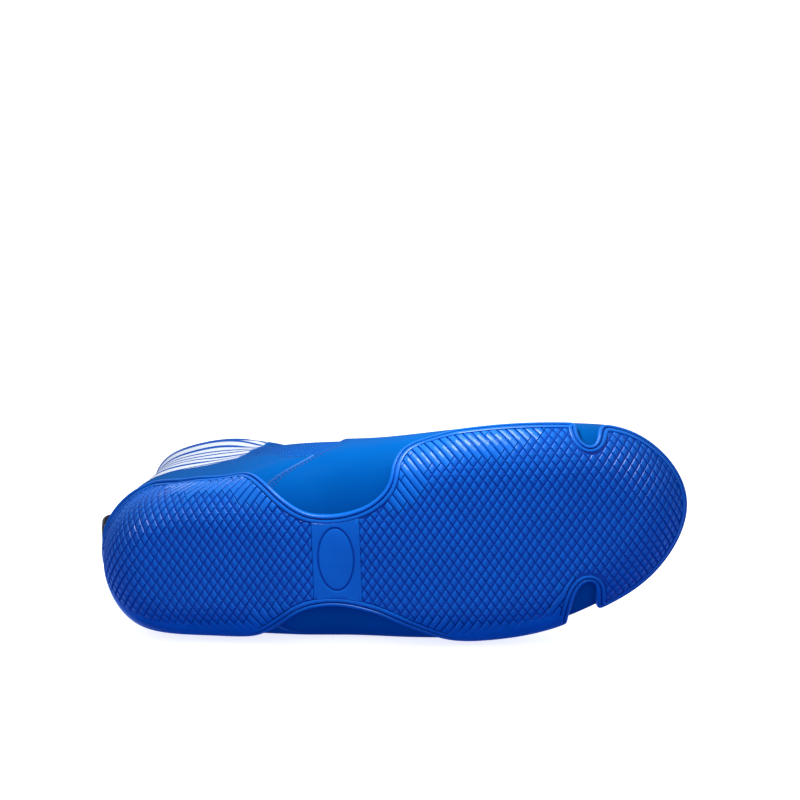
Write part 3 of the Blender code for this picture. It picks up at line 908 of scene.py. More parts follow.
def moved_in(line, distance):
    """A closed clockwise line moved to its inside by a distance, without crossing itself."""
    steps = max(1, int(math.ceil(distance / INWARD_STEP)))
    for _ in range(steps):
        line = smoothed(line - edge_normals(line) * distance / steps, 1, 0.25)
    return line


# The sole's rim in section: how far in from the edge, and the height over the tread's face
RimStep = namedtuple("RimStep", "inside height")
RIM = (
    RimStep(0.0, -2.1), RimStep(0.05, -1.1), RimStep(0.3, -0.35), RimStep(0.7, 0.1), RimStep(1.25, 0.28),
    RimStep(1.7, 0.2), RimStep(1.95, -0.1), RimStep(2.1, -0.75), RimStep(2.5, -0.75), RimStep(2.6, -0.25),
    RimStep(2.8, 0.02), RimStep(3.3, 0.12), RimStep(3.9, 0.1), RimStep(4.25, -0.08),
    RimStep(4.45, -GROOVE_DEPTH),
)
RIM_WALL_STEPS = 4
FLOOR_SPACING = 3.0
ROOF_SPACING = 4.0

# The bead is the rim's first steps, and stands prouder at these places on the medial side of the heel
BEAD_STEPS = 7
HEEL_BEAD = 0.9
HEEL_BEAD_PLACES = (0.03, 0.09, 0.27, 0.36)


def fill_outline(outline, spacing):
    """Triangles inside a closed line, with points between: the points, and the triangles' corners."""
    low = outline.min(0)
    high = outline.max(0)
    columns = np.arange(low[0], high[0], spacing)
    rows = np.arange(low[1], high[1], spacing)
    inner = np.array([(x, y) for x in columns for y in rows])
    inside = nearest_on(outline, inner)[2] < -spacing / 2
    points = np.vstack((outline, inner[inside]))
    count = len(outline)
    edges = [(index, (index + 1) % count) for index in range(count)]
    made = delaunay_2d_cdt([Vector(point) for point in points], edges, [list(range(count))], 1, 0.001)
    return np.array([tuple(point) for point in made[0]]), [list(face) for face in made[2]]


class Parts:
    """Points, faces and groove depths of a piece that is put together from several."""

    def __init__(self):
        self.points = []
        self.faces = []
        self.depths = []
        self.count = 0

    def add(self, points, faces, depths):
        self.points.append(points)
        self.faces += [[corner + self.count for corner in face] for face in faces]
        self.depths.append(np.broadcast_to(depths, len(points)))
        self.count += len(points)


def bead_rise(outline):
    """How much prouder the rim's bead stands on the medial side of the heel."""
    index = sheet_place(outline)[0]
    around = edge_around[index]
    share = eased(from_heel(around), HEEL_BEAD_PLACES, (0.0, 1.0, 1.0, 0.0))
    return HEEL_BEAD * np.where(around > 1.0, share, 0.0)


def add_sole_body(parts, outline):
    """The rubber under the tread: rim, groove floor, wall and the side that the upper sits in."""
    rise = bead_rise(outline)
    rings = []
    line = outline
    reached = 0.0
    for index, step in enumerate(RIM):
        line = moved_in(line, step.inside - reached) if step.inside > reached else line
        reached = step.inside
        rings.append(sole_point(line, step.height + rise * (0 < index < BEAD_STEPS)))
    count = len(outline)
    depths = np.repeat([-step.height for step in RIM], count)
    depths[:RIM_WALL_STEPS * count] = 0.0
    parts.add(np.vstack(rings), tube_faces(0, len(RIM), count), depths)
    floor, triangles = fill_outline(line, FLOOR_SPACING)
    parts.add(sole_point(floor, -GROOVE_DEPTH), flipped(triangles), GROOVE_DEPTH)
    roof, triangles = fill_outline(outline, ROOF_SPACING)
    parts.add(sole_point(roof, inner=True), triangles, 0.0)
    wall = np.vstack((sole_point(outline, inner=True), rings[0]))
    parts.add(wall, tube_faces(0, 2, count), 0.0)
    return line


def clip(polygon, kinds, point, inward, kind=True):
    """The part of a convex polygon on the inner side of a line, and the kind of each of its edges."""
    heights = [float(np.dot(corner - point, inward)) for corner in polygon]
    made = []
    made_kinds = []
    for index, corner in enumerate(polygon):
        after = (index + 1) % len(polygon)
        here, there = heights[index], heights[after]
        if here >= 0:
            made.append(corner)
            made_kinds.append(kinds[index])
            if there < 0:
                made.append(corner + (polygon[after] - corner) * here / (here - there))
                made_kinds.append(kind)
        elif there >= 0:
            made.append(corner + (polygon[after] - corner) * here / (here - there))
            made_kinds.append(kinds[index])
    return made, made_kinds


# A corner that turns less than this is taken as straight
STRAIGHT = 0.15


def inset(polygon, kinds, distance):
    """A convex polygon with its marked edges moved in."""
    made = []
    count = len(polygon)
    for index in range(count):
        before, here, after = polygon[index - 1], polygon[index], polygon[(index + 1) % count]
        first = unit(here - before)
        second = unit(after - here)
        shift_first = distance if kinds[index - 1] else 0.0
        shift_second = distance if kinds[index] else 0.0
        turn = first[0] * second[1] - first[1] * second[0]
        if abs(turn) < STRAIGHT:
            move = np.array((-first[1], first[0])) * shift_first
        else:
            move = (second * shift_first - first * shift_second) / turn
            move = move * min(1.0, 3 * distance / max(np.linalg.norm(move), 1e-9))
        made.append(here + move)
    return made


def area(polygon):
    points = np.array(polygon)
    ahead = np.roll(points, -1, 0)
    return 0.5 * float((points[:, 0] * ahead[:, 1] - points[:, 1] * ahead[:, 0]).sum())


# Bands beside the tread's edge where only one family of grooves runs on over the side of the sole
MIDDLE_OFFSET = 8.0
BAND_END = 0.15
Band = namedtuple("Band", "start end width medial forward")
BANDS = (
    Band(28.0, 92.0, 12.0, True, True),
    Band(146.0, 226.0, 14.0, True, False),
    Band(24.0, 96.0, 9.0, False, True),
    Band(150.0, 232.0, 9.0, False, False),
)


def band_at(place, depth):
    """Which family of grooves ends at this place, or none: 0 or 1."""
    for band in BANDS:
        along = (place[0] - band.start) / (band.end - band.start)
        if not 0 < along < 1 or (place[1] < MIDDLE_OFFSET) != band.medial:
            continue
        width = band.width * min(1.0, 4.0 * along * (1.0 - along) + BAND_END)
        if depth < width:
            return 0 if band.medial == band.forward else 1
    return None


# A pad in section: how far in from its outline, and the height over the tread's face
PAD = (
    RimStep(0.0, -GROOVE_DEPTH - 0.1), RimStep(0.0, -GROOVE_DEPTH + 0.12), RimStep(0.42, -0.08),
    RimStep(0.56, 0.0),
)

# How far a diamond's top sinks in its middle: the corner away from the waist sinks twice as far
PAD_LEAN = 0.28

# How many pads are tried each way from a crossing
PAD_REACH = 40

# Pads reach this far over the rim before they are cut, and smaller scraps are left out
PAD_PAST_RIM = 2.6
PAD_LEAST = 0.9
PAD_TOP_LEAST = 0.15
PAD_EDGE_LEAST = 0.35
PAD_SHRINK_MOST = 0.7
RIM_CUTS = 4
RIM_TOUCH = 0.05


def turned(places, angle):
    cosine, sine = math.cos(angle), math.sin(angle)
    return places @ np.array(((cosine, -sine), (sine, cosine)))


def along_tread(places):
    """Places on the sheet along and across the tread's own axis, which is turned a little from the shoe's."""
    return turned(places, TREAD_TURN)


def from_tread(places):
    """The other way: from the tread's own axis to places on the sheet."""
    return turned(places, -TREAD_TURN)


def turned_over(polygon, shrunk):
    """Whether an edge of a shrunk polygon runs the other way."""
    first = np.roll(polygon, -1, 0) - np.array(polygon)
    second = np.roll(shrunk, -1, 0) - np.array(shrunk)
    return bool(((first * second).sum(1) <= 0).any())


def without_slivers(polygon, kinds):
    """A polygon without its very short edges."""
    count = len(polygon)
    lengths = [np.linalg.norm(polygon[(at + 1) % count] - polygon[at]) for at in range(count)]
    kept = [at for at in range(count) if lengths[at] > PAD_EDGE_LEAST]
    return [polygon[at] for at in kept], [kinds[at] for at in kept]


def pad_centres(half):
    """The lattices of the heel and the forefoot, on either side of the bridge's middle."""
    counts = np.arange(-PAD_REACH, PAD_REACH)
    first, second = [part.ravel() for part in np.meshgrid(counts, counts)]
    lattice = np.column_stack(((second - first) * half[0], (first + second + 1) * half[1]))
    heel = along_tread(HEEL_CROSSING) + lattice
    forefoot = along_tread(FOREFOOT_CROSSING) + lattice
    middle = sum(BRIDGE) / 2
    return from_tread(np.vstack((heel[heel[:, 0] < middle], forefoot[forefoot[:, 0] >= middle])))


def add_pads(parts, outline, guard):
    """The diamonds of the tread, cut off at the rim and the bridge."""
    angle = math.radians(GROOVE_DEGREES)
    half = GROOVE_PITCH / (2 * math.sin(angle)), GROOVE_PITCH / (2 * math.cos(angle))
    corners = from_tread(np.array(((-half[0], 0), (0, -half[1]), (half[0], 0), (0, half[1]))))
    centres = pad_centres(half)
    rim = RIM[-1].inside
    distance = nearest_on(outline, centres)[2] + rim
    near = distance < PAD_PAST_RIM
    normals = edge_normals(outline)
    flats, heights, faces = [], [], []
    for centre, away in zip(centres[near], distance[near]):
        band = band_at(centre, -away)
        kinds = [band in (None, 0), band in (None, 1)] * 2
        polygon = inset([centre + corner for corner in corners], kinds, GROOVE_HALF)
        for _ in range(RIM_CUTS):
            index, _, out = nearest_on(outline, np.array(polygon))
            worst = int(out.argmax())
            if out[worst] + rim < RIM_TOUCH:
                break
            at = index[worst]
            polygon, kinds = clip(polygon, kinds, outline[at] - normals[at] * rim, -normals[at])
            if len(polygon) < 3:
                break
        behind = along_tread(centre)[0] < sum(BRIDGE) / 2
        edge = from_tread(np.array((BRIDGE[0] if behind else BRIDGE[1], 0.0)))
        if len(polygon) >= 3:
            polygon, kinds = clip(polygon, kinds, edge, from_tread(np.array((-1.0 if behind else 1.0, 0.0))))
        if len(polygon) >= 3 and guard.beyond(np.array(polygon)).any():
            polygon, kinds = clip(polygon, kinds, *guard.tangent(centre), False)
        polygon, kinds = without_slivers(polygon, kinds)
        if len(polygon) < 3 or area(polygon) < PAD_LEAST:
            continue
        sides = len(polygon)
        start = len(flats)
        for step in PAD:
            shrunk = inset(polygon, kinds, step.inside) if step.inside else polygon
            if area(shrunk) < PAD_TOP_LEAST or turned_over(polygon, shrunk):
                share = min(PAD_SHRINK_MOST, 2 * step.inside / math.sqrt(area(polygon)))
                shrunk = [np.mean(polygon, 0) * share + corner * (1 - share) for corner in polygon]
            flats += shrunk
            lean = 0.0
            if band is None and step.height > PAD[1].height:
                across = (along_tread(np.array(shrunk)) - along_tread(centre))[:, 0] / half[0]
                lean = PAD_LEAN * np.clip(across if behind else -across, -1, 1) - PAD_LEAN
            heights += list(step.height + lean * np.ones(sides))
        faces += flipped(tube_faces(start, len(PAD), sides))
        faces.append(list(range(len(flats) - sides, len(flats)))[::-1])
        faces.append(list(range(start, start + sides)))
    heights = np.array(heights)
    parts.add(sole_point(np.array(flats), heights), faces, np.maximum(0.0, -heights))


# Where the tread ends on the lateral side and the rubber goes on smooth: places round the shoe, and rows
GuardPoint = namedtuple("GuardPoint", "around row")
GUARD = (
    GuardPoint(-0.04, 1.3), GuardPoint(0.0, 0.8), GuardPoint(0.06, 0.62), GuardPoint(0.1, 0.52),
    GuardPoint(0.15, 0.44), GuardPoint(0.22, 0.39), GuardPoint(0.34, 0.39), GuardPoint(0.55, 0.42),
    GuardPoint(0.68, 0.42), GuardPoint(0.74, 0.5), GuardPoint(0.78, 0.6), GuardPoint(0.84, 1.3),
)
GUARD_COUNT = 420
GUARD_STEPS = 14
GUARD_TRIED = np.arange(0.0, 60.0, 0.4)
GUARD_UNDER_RIM = 3.2
GUARD_MEETS = 0.4
GUARD_LEAST = 1.2

# How the grooves grow shallow at the tread's lateral edge: the distance past it, and the floor's height
FadePoint = namedtuple("FadePoint", "away height")
FADE = (
    FadePoint(-5.0, -0.95), FadePoint(-3.6, -0.66), FadePoint(-2.2, -0.36), FadePoint(-1.0, -0.14),
    FadePoint(0.0, -0.03), FadePoint(0.9, 0.0),
)


class Guard:
    """The smooth rubber between the tread's lateral edge and the sole's rim."""

    def __init__(self, outline):
        around = np.linspace(GUARD[0].around, GUARD[-1].around, GUARD_COUNT)
        row = eased(around, *zip(*GUARD))
        edge = lasting_edge.at(around)[:, :2]
        self.out = unit(widest_line.at(around)[:, :2] - edge)
        nearest = np.rint(np.mod(around, 2.0) / EDGE_STEP).astype(int) % EDGE_COUNT
        start = np.array([np.interp(here, arc_rows, arc_lengths[at]) for here, at in zip(row, nearest)])
        tried = edge[:, None] + self.out[:, None] * (start[:, None] + GUARD_TRIED)[:, :, None]
        inside = nearest_on(outline, tried.reshape(-1, 2))[2].reshape(tried.shape[:2]) < -GUARD_UNDER_RIM
        self.reach = np.where(inside.all(1), len(GUARD_TRIED), inside.argmin(1)) * GUARD_TRIED[1]
        self.first = edge + self.out * start[:, None]

    def nearest(self, places):
        return np.array([int(((self.first - place) ** 2).sum(1).argmin()) for place in np.atleast_2d(places)])

    def beyond(self, places):
        at = self.nearest(places)
        past = ((places - self.first[at]) * self.out[at]).sum(1)
        return (past > GUARD_MEETS) & (self.reach[at] > GUARD_LEAST)

    def tangent(self, place):
        """A point of the tread's edge near a place, and the direction into the tread."""
        at = int(np.clip(self.nearest(place)[0], 1, GUARD_COUNT - 2))
        ahead = unit(self.first[at + 1] - self.first[at - 1])
        across = np.array((-ahead[1], ahead[0]))
        inward = across * -np.sign(float(np.dot(across, self.out[at])))
        return self.first[at] - inward * GUARD_MEETS, inward

    def add_to(self, parts):
        """Strips of smooth rubber, which rise from the groove floor at the tread's edge."""
        wide = np.flatnonzero(self.reach > GUARD_LEAST)
        shares = np.linspace(0, 1, GUARD_STEPS)[1:] ** 1.5
        heights = np.concatenate(([point.height for point in FADE], np.zeros(len(shares))))
        count = len(heights)
        for run in np.split(wide, np.flatnonzero(np.diff(wide) > 1) + 1):
            if len(run) < 3:
                continue
            start = np.tile([point.away for point in FADE], (len(run), 1))
            last = FADE[-1].away
            away = np.hstack((start, last + shares * (self.reach[run] - last)[:, None]))
            flat = self.first[run][:, None] + self.out[run][:, None] * away[:, :, None]
            faces = []
            for index in range(len(run) - 1):
                corner = index * count
                faces += [[corner + step, corner + step + 1, corner + count + step + 1, corner + count + step]
                          for step in range(count - 1)]
            height = np.tile(heights, len(run))
            parts.add(sole_point(flat.reshape(-1, 2), height), faces, np.maximum(0.0, -height))


# The bridge's panel and its oval groove: shares of the panel's border or of the oval, and heights
OVAL_GROOVE = 0.6
BRIDGE_SPACING = 0.7
BORDER_RINGS = ((1.012, -GROOVE_DEPTH - 0.1), (1.012, -0.25), (0.992, 0.0))
PANEL_SHARES = (0.35, 0.7, 0.95)
GROOVE_RINGS = ((1.0, -0.06), (0.6, -0.6), (-0.4, -0.6), (-1.0, -0.1), (-2.0, -0.03))
FIELD_SHARES = (0.7, 0.4, 0.12)
FIELD_HEIGHT = -0.02


def add_bridge(parts, field):
    """The smooth panel under the arch, with an oval groove round a bare field."""
    field = along_tread(field)
    outer = field[(field[:, 0] > BRIDGE[0]) & (field[:, 0] < BRIDGE[1])] - OVAL_CENTRE
    low, high = BRIDGE - OVAL_CENTRE[0]
    medial = outer[outer[:, 1] < 0]
    lateral = outer[outer[:, 1] > 0]
    medial = medial[np.argsort(medial[:, 0])]
    lateral = lateral[np.argsort(-lateral[:, 0])]
    corners = [(low, medial[0, 1]), *medial[1:-1], (high, medial[-1, 1])]
    corners += [(high, lateral[0, 1]), *lateral[1:-1], (low, lateral[-1, 1])]
    border = resample(np.array(corners, float), BRIDGE_SPACING)
    angles = np.arctan2(border[:, 1] / OVAL_HALF[1], border[:, 0] / OVAL_HALF[0])
    oval = np.column_stack((np.cos(angles), np.sin(angles)))
    groove = oval * (OVAL_HALF + OVAL_GROOVE)
    rings = [(border * share, height) for share, height in BORDER_RINGS]
    rings += [(border * (1 - share) + groove * share, 0.0) for share in PANEL_SHARES]
    rings += [(oval * (OVAL_HALF + OVAL_GROOVE * share), height) for share, height in GROOVE_RINGS]
    rings += [(oval * OVAL_HALF * share, FIELD_HEIGHT) for share in FIELD_SHARES]
    count = len(border)
    flat = from_tread(np.vstack([ring + OVAL_CENTRE for ring, height in rings]))
    heights = np.repeat([height for ring, height in rings], count)
    faces = flipped(tube_faces(0, len(rings), count))
    faces.append(list(range(len(flat) - count, len(flat)))[::-1])
    parts.add(sole_point(flat, heights), faces, np.maximum(0.0, -heights))


def make_outsole():
    parts = Parts()
    outline = sole_outline()
    field = add_sole_body(parts, outline)
    guard = Guard(outline)
    guard.add_to(parts)
    add_pads(parts, outline, guard)
    add_bridge(parts, field)
    piece = from_arrays("rubber_sole", np.vstack(parts.points), parts.faces)
    write_mark(piece, "depth", np.concatenate(parts.depths))
    weld(piece)
    soften(piece, 35)
    finish_piece(piece, rubber_material(), "rubber", "outsole")


# The upper and what is sewn onto it

# Soft creases of the upper: place, length along the crease, its turn from the hoops, width and depth
Crease = namedtuple("Crease", "around row length degrees width depth")
CREASES = (
    Crease(0.80, 1.52, 34.0, 62.0, 5.0, 0.9),
    Crease(0.77, 1.58, 26.0, 70.0, 4.0, 0.6),
    Crease(1.20, 1.52, 32.0, -62.0, 5.0, 0.8),
    Crease(1.235, 1.60, 24.0, -70.0, 4.0, 0.6),
    Crease(0.20, 1.50, 44.0, 12.0, 7.0, 0.9),
    Crease(0.30, 1.62, 30.0, -14.0, 6.0, 0.7),
    Crease(1.80, 1.50, 42.0, -12.0, 7.0, 0.7),
    Crease(1.70, 1.60, 30.0, 14.0, 6.0, 0.6),
)

# A crease is a trough with a ridge beside it, in shares of its depth and width
RIDGE_SHARE = 0.55
RIDGE_ASIDE = 1.1
TROUGH_SHARP = 1.6


def creased(around, row):
    """How far the creases push the upper's surface in or out."""
    here = skin(around, row)
    depth = np.zeros(here.shape[:-1])
    for crease in CREASES:
        centre = skin(crease.around, crease.row)
        beside = np.array((-SLOPE_STEP, SLOPE_STEP))
        along = unit(np.diff(skin(crease.around + beside, crease.row), axis=0)[0])
        up = unit(np.diff(skin(crease.around, crease.row + beside), axis=0)[0])
        turn = math.radians(crease.degrees)
        runs = along * math.cos(turn) + up * math.sin(turn)
        crosses = up * math.cos(turn) - along * math.sin(turn)
        away = here - centre
        lengthwise = (away @ runs) / (crease.length / 2)
        widthwise = (away @ crosses) / crease.width
        near = np.exp(-np.linalg.norm(away, axis=-1) ** 2 / crease.length ** 2)
        fade = np.exp(-lengthwise ** 4) * near
        ridge = RIDGE_SHARE * np.exp(-(widthwise - RIDGE_ASIDE) ** 2)
        depth += crease.depth * fade * (ridge - np.exp(-widthwise ** 2 * TROUGH_SHARP))
    return depth


def mark_cloth(piece, around, row, points):
    """The two UV maps of a grid on the upper: place on the shoe, and lengths in millimetres."""
    write_uv(piece, "shoe", np.column_stack((around, row)))
    lengths = [run_lengths(points, axis).ravel() for axis in (1, 0)]
    write_uv(piece, "cloth", np.column_stack(lengths))


# The padded collar: how far it swells, from which row, and where round the shoe it ends
COLLAR_PAD = 1.6
COLLAR_FROM = 1.80
COLLAR_ENDS = 0.42
COLLAR_FADE = 0.06
COLLAR_ROUND = 0.6
COLLAR_CLOSE = 0.95
COLLAR_POWER = 1.5
COLLAR_BELOW = 1.96
UPPER_COLUMNS = 300


def collar_pad(around, row):
    """How far the padded collar swells on either side of its wall."""
    ankle = 1.0 - np.clip((from_heel(around) - COLLAR_ENDS) / COLLAR_FADE, 0.0, 1.0)
    swell = np.clip((row - COLLAR_FROM) / (2.0 - COLLAR_FROM), 0.0, 1.0)
    return COLLAR_PAD * ankle * np.sin(np.pi * COLLAR_CLOSE * swell) ** COLLAR_POWER


def make_upper():
    """The hollow upper: out from the lasting edge to the padded collar, over it and down the lining."""
    side = np.linspace(1, 1.9, 44)[1:]
    outer = np.concatenate((np.linspace(0, 1, 16), side, np.linspace(1.9, 2.0, 10)[1:]))
    turns = np.linspace(0, math.pi, 9)[1:-1]
    inner = np.concatenate((np.linspace(2.0, 1.0, 26), np.linspace(1.0, 0.0, 12)[1:]))
    rows = np.concatenate((outer, np.full(len(turns), 2.0), inner, (0.0,)))
    swing = np.concatenate((np.zeros(len(outer)), turns, np.full(len(inner), math.pi), (0.0,)))
    piece, u, v = add_grid("upper_shell", UPPER_COLUMNS, len(rows) - 1)
    around = 2.0 * (1.0 - u)
    row = spread(v, rows)
    turn = spread(v, swing)
    pad = collar_pad(around, row)
    offset = -UPPER_WALL / 2 + (UPPER_WALL / 2) * np.cos(turn) + np.where(turn < math.pi / 2, pad, -pad)
    points = lifted(around, row, offset)
    climb = unit(skin(around, 2.0) - skin(around, COLLAR_BELOW))
    points = points + climb * (np.sin(turn) * UPPER_WALL * COLLAR_ROUND)[:, None]
    soft = np.where(row > 1.0, creased(around, row), 0.0)
    points = points + outward(around, row) * soft[:, None]
    write_points(piece, lie(points))
    mark_cloth(piece, around, row, points.reshape(len(rows), UPPER_COLUMNS + 1, 3))
    weld(piece)
    soften(piece, 60)
    finish_piece(piece, upper_material(), "textile", "upper")
    piece.data.materials.append(knit_material("lining_knit", (0.015, 0.06, 0.30), (0.006, 0.025, 0.15), 1.1))
    inside = len(outer) + len(turns) // 2
    lined = np.arange(len(piece.data.polygons)) // UPPER_COLUMNS >= inside
    piece.data.polygons.foreach_set("material_index", lined.astype(np.int32))


# A panel's rounded edge, its sunk seams, its paler cut and its grid, in millimetres from the edge
EDGE_ROUND = 0.9
EDGE_FALL = 0.9
SEAM_SINK = 0.28
SEAM_HALF = 0.55
CUT_WIDTH = 0.55
EDGE_LINES = (0.0, 0.12, 0.3, 0.55, 0.9, 1.4, 1.9, 2.4, 3.0, 3.8, 4.6, 5.4, 6.4)
PANEL_CELL = (1.8, 1.5)
PANEL_THICK = 0.0009


def edge_profile(distance, thick):
    """How far a panel's face falls away near its cut edge."""
    near = np.clip(1.0 - distance / EDGE_ROUND, 0.0, 1.0)
    return thick * EDGE_FALL * (1.0 - np.sqrt(np.maximum(0.0, 1.0 - near ** 2)))


def seam_press(distance, lines):
    """How far the stitches pull the leather down beside an edge."""
    return sum(SEAM_SINK * np.exp(-((distance - line) / SEAM_HALF) ** 2) for line in lines)


def near_edges(length, step):
    """Shares of a length, close together near both ends."""
    ends = np.array(EDGE_LINES)
    ends = ends[ends < length / 2.5]
    middle = np.linspace(ends[-1], length - ends[-1], max(2, int((length - 2 * ends[-1]) / step)))
    return np.concatenate((ends[:-1], middle, length - ends[:-1][::-1])) / length


def fore_place(across, up):
    """Round the toe from the lateral seam to the medial one, and up from the lasting edge."""
    row = FORE_PANEL_TOP * up
    start = seam(row) + SEAM_SLIT
    return start + (2.0 - 2 * start) * across, row


def heel_place(across, up):
    """Round the heel from the medial seam to the lateral one, with a top edge that falls to the seams."""
    side = 2 * across - 1
    row = eased(np.abs(side), *zip(*HEEL_TOP)) * up
    return side * (seam(row) - SEAM_SLIT), row


def stay_place(across, up):
    """Along both sides of the throat and round its foot."""
    around = STAY_ENDS[0] + (STAY_ENDS[1] - STAY_ENDS[0]) * across
    return around, STAY_ROWS[0] + (STAY_ROWS[1] - STAY_ROWS[0]) * up


def make_panel(name, place, node, finish, lines, open_foot=True):
    """A panel sewn onto the upper, with rounded edges and sunk seams: place says where its shares lie."""
    middle = np.full(80, 0.5)
    run = np.linspace(0, 1, 80)
    width = run_lengths(skin(*place(run, middle))[None], 1)[0, -1]
    height = run_lengths(skin(*place(middle * 0.2, run))[None], 1)[0, -1]
    columns = near_edges(width, PANEL_CELL[0])
    rows = near_edges(height, PANEL_CELL[1])
    piece, u, v = add_grid(name, len(columns) - 1, len(rows) - 1)
    around, row = place(1.0 - spread(u, columns), spread(v, rows))
    shape = (len(rows), len(columns))
    base = lifted(around, row, OVERLAY_OUT).reshape(*shape, 3)
    across = run_lengths(base, 1)
    up = run_lengths(base, 0)
    distance = np.minimum(np.minimum(across, across[:, -1:] - across), up[-1:] - up)
    if not open_foot:
        distance = np.minimum(distance, up)
    offset = OVERLAY_OUT - edge_profile(distance, OVERLAY) - seam_press(distance, lines)
    offset = offset.ravel() + np.where(row > 1.0, creased(around, row), 0.0)
    points = lifted(around, row, offset)
    write_points(piece, lie(points))
    mark_cloth(piece, around, row, points.reshape(*shape, 3))
    write_mark(piece, "edge", np.clip(1.0 - distance.ravel() / CUT_WIDTH, 0.0, 1.0))
    apply(piece, "SOLIDIFY", thickness=PANEL_THICK, offset=-1.0, use_even_offset=True)
    soften(piece, 50)
    finish_piece(piece, finish, "leather", node)


def beside_edge(place, edge, inside):
    """A line that keeps a distance inside one edge of a panel: top, foot, start or end."""
    run = np.linspace(0, 1, 300)
    depth = 0.5 * np.linspace(0, 1, 120) ** 1.5
    first, second = [part.T for part in np.meshgrid(run, depth)]
    if edge in ("top", "end"):
        second = 1.0 - second
    grid = (first, second) if edge in ("top", "foot") else (second, first)
    lengths = run_lengths(skin(*place(*grid)), 1)
    at = np.array([np.interp(inside, line, depth) for line in lengths])
    keep = lengths[:, -1] > 2 * inside
    at = 1.0 - at if edge in ("top", "end") else at
    around, row = place(run, at) if edge in ("top", "foot") else place(at, run)
    return around[keep], row[keep]


STITCH_PITCH = 2.15
STITCH_HALF = (0.72, 0.26, 0.2)
STITCH_RISE = 0.1
STITCH_BEND = 0.16
STITCH_LIFT = OVERLAY_OUT - 0.22
SEAM_SHOWS = 0.3

# How far ahead and back a stitch's direction is read
STITCH_AIM = 0.4


def even_places(points, normals, pitch):
    """Places, directions and normals at an even pitch along a line."""
    lengths = run_lengths(points[None], 1)[0]
    at = np.arange(pitch / 2, lengths[-1], pitch)
    places, ahead, back = [interpolate(at + step, lengths, points) for step in (0.0, STITCH_AIM, -STITCH_AIM)]
    return places, unit(ahead - back), unit(interpolate(at, lengths, normals))


def make_stitches(lines, finish):
    """Short threads with round ends that sink at both, at an even pitch along lines on the upper."""
    points, faces = shape_of(bpy.ops.mesh.primitive_uv_sphere_add, segments=6, ring_count=5, radius=1.0)
    stitch = points[:, (2, 0, 1)] * STITCH_HALF
    stitch[:, 2] += STITCH_RISE - STITCH_BEND * stitch[:, 0] ** 2
    places, turns = [], []
    for around, row in lines:
        bare = row > SEAM_SHOWS
        around, row = around[bare], row[bare]
        base = lifted(around, row, STITCH_LIFT + creased(around, row))
        at, ahead, facing = even_places(base, outward(around, row), STITCH_PITCH)
        places.append(at)
        turns.append(np.stack((ahead, np.cross(facing, ahead), facing), -1))
    piece = set_copies("stitches", stitch, faces, np.vstack(places), np.vstack(turns))
    finish_piece(piece, finish, "leather")


# The strip up the back, and the tab that stands out at its foot
STRIP_CELLS = (16, 90)
STRIP_ROWS = (1.14, 1.97)
STRIP_HALF = 0.048
STRIP_ASIDE = 0.008
STRIP = 1.2
TAB_RISE = 2.4
TAB_LEAN = 2.4
TAB_ROWS = 0.2
TAB_FULL = 0.35
STRIP_EDGE = 0.35
STRIP_SETTLE = (0.03, 0.09)
STRIP_THICK = 0.0011


def make_heel_strip(finish):
    """Black woven strip up the back, over the heel panel and then on the upper."""
    columns, rows = STRIP_CELLS
    piece, u, v = add_grid("back_strip", columns, rows)
    row = STRIP_ROWS[0] + v * (STRIP_ROWS[1] - STRIP_ROWS[0])
    around = STRIP_HALF * (1 - 2 * u) - STRIP_ASIDE
    ease = np.clip((row - HEEL_TOP[0].row + STRIP_SETTLE[0]) / STRIP_SETTLE[1], 0, 1)
    seat = SOLE_IN + (GAP - SOLE_IN) * ease * ease * (3 - 2 * ease) + collar_pad(around, row)
    fold = np.clip((row - STRIP_ROWS[0]) / TAB_ROWS, 0, 1)
    rise = TAB_RISE + TAB_LEAN * np.clip(2 * u - 1, 0, 1) ** 2
    tab = rise * np.sin(np.pi * fold) ** TAB_FULL
    points = lifted(around, row, seat + STRIP + tab - STRIP_EDGE * np.abs(1 - 2 * u) ** 6)
    write_points(piece, lie(points))
    shaped = points.reshape(rows + 1, columns + 1, 3)
    across = run_lengths(shaped, 1)
    centred = across - across[:, -1:] / 2
    write_uv(piece, "cloth", np.column_stack((centred.ravel(), run_lengths(shaped, 0).ravel())))
    apply(piece, "SOLIDIFY", thickness=STRIP_THICK, offset=-1.0, use_even_offset=True)
    soften(piece, 50)
    finish_piece(piece, finish, "webbing", "heel_strip")


def soft_copy(node, name, levels):
    """A copy of a CAD solid, merged and rounded by subdivision."""
    piece = frame["nodes"][node].copy()
    piece.data = frame["nodes"][node].data.copy()
    piece.name = name
    piece.data.name = name
    for key in list(piece.keys()):
        del piece[key]
    piece.parent = None
    bpy.context.scene.collection.objects.link(piece)
    weld(piece)
    pick(piece)
    bpy.ops.object.mode_set(mode="EDIT")
    bpy.ops.mesh.select_all(action="SELECT")
    bpy.ops.mesh.tris_convert_to_quads(face_threshold=math.pi, shape_threshold=math.pi)
    bpy.ops.object.mode_set(mode="OBJECT")
    apply(piece, "SUBSURF", levels=levels, render_levels=levels)
    soften(piece, 70)
    return piece


# Lacing: the places of the holes round the shoe, and the lace's sizes
HOLE_RIBS = (0.515, 0.575, 0.64, 0.71, 0.79, 0.88)
BAR_RIB = 0.915
HOLE_ROW = 1.9
LACE_RISE = 1.9
LACE_DIVE = 3.2
LACE_WIDTH = 5.5
LACE_THICK = 1.2
LACE_POINTS = 41
DIVE_SHARE = 0.05
BAR_HUMP = 0.4
UNDER_HUMP = 0.2
OVER_HUMP = 1.7

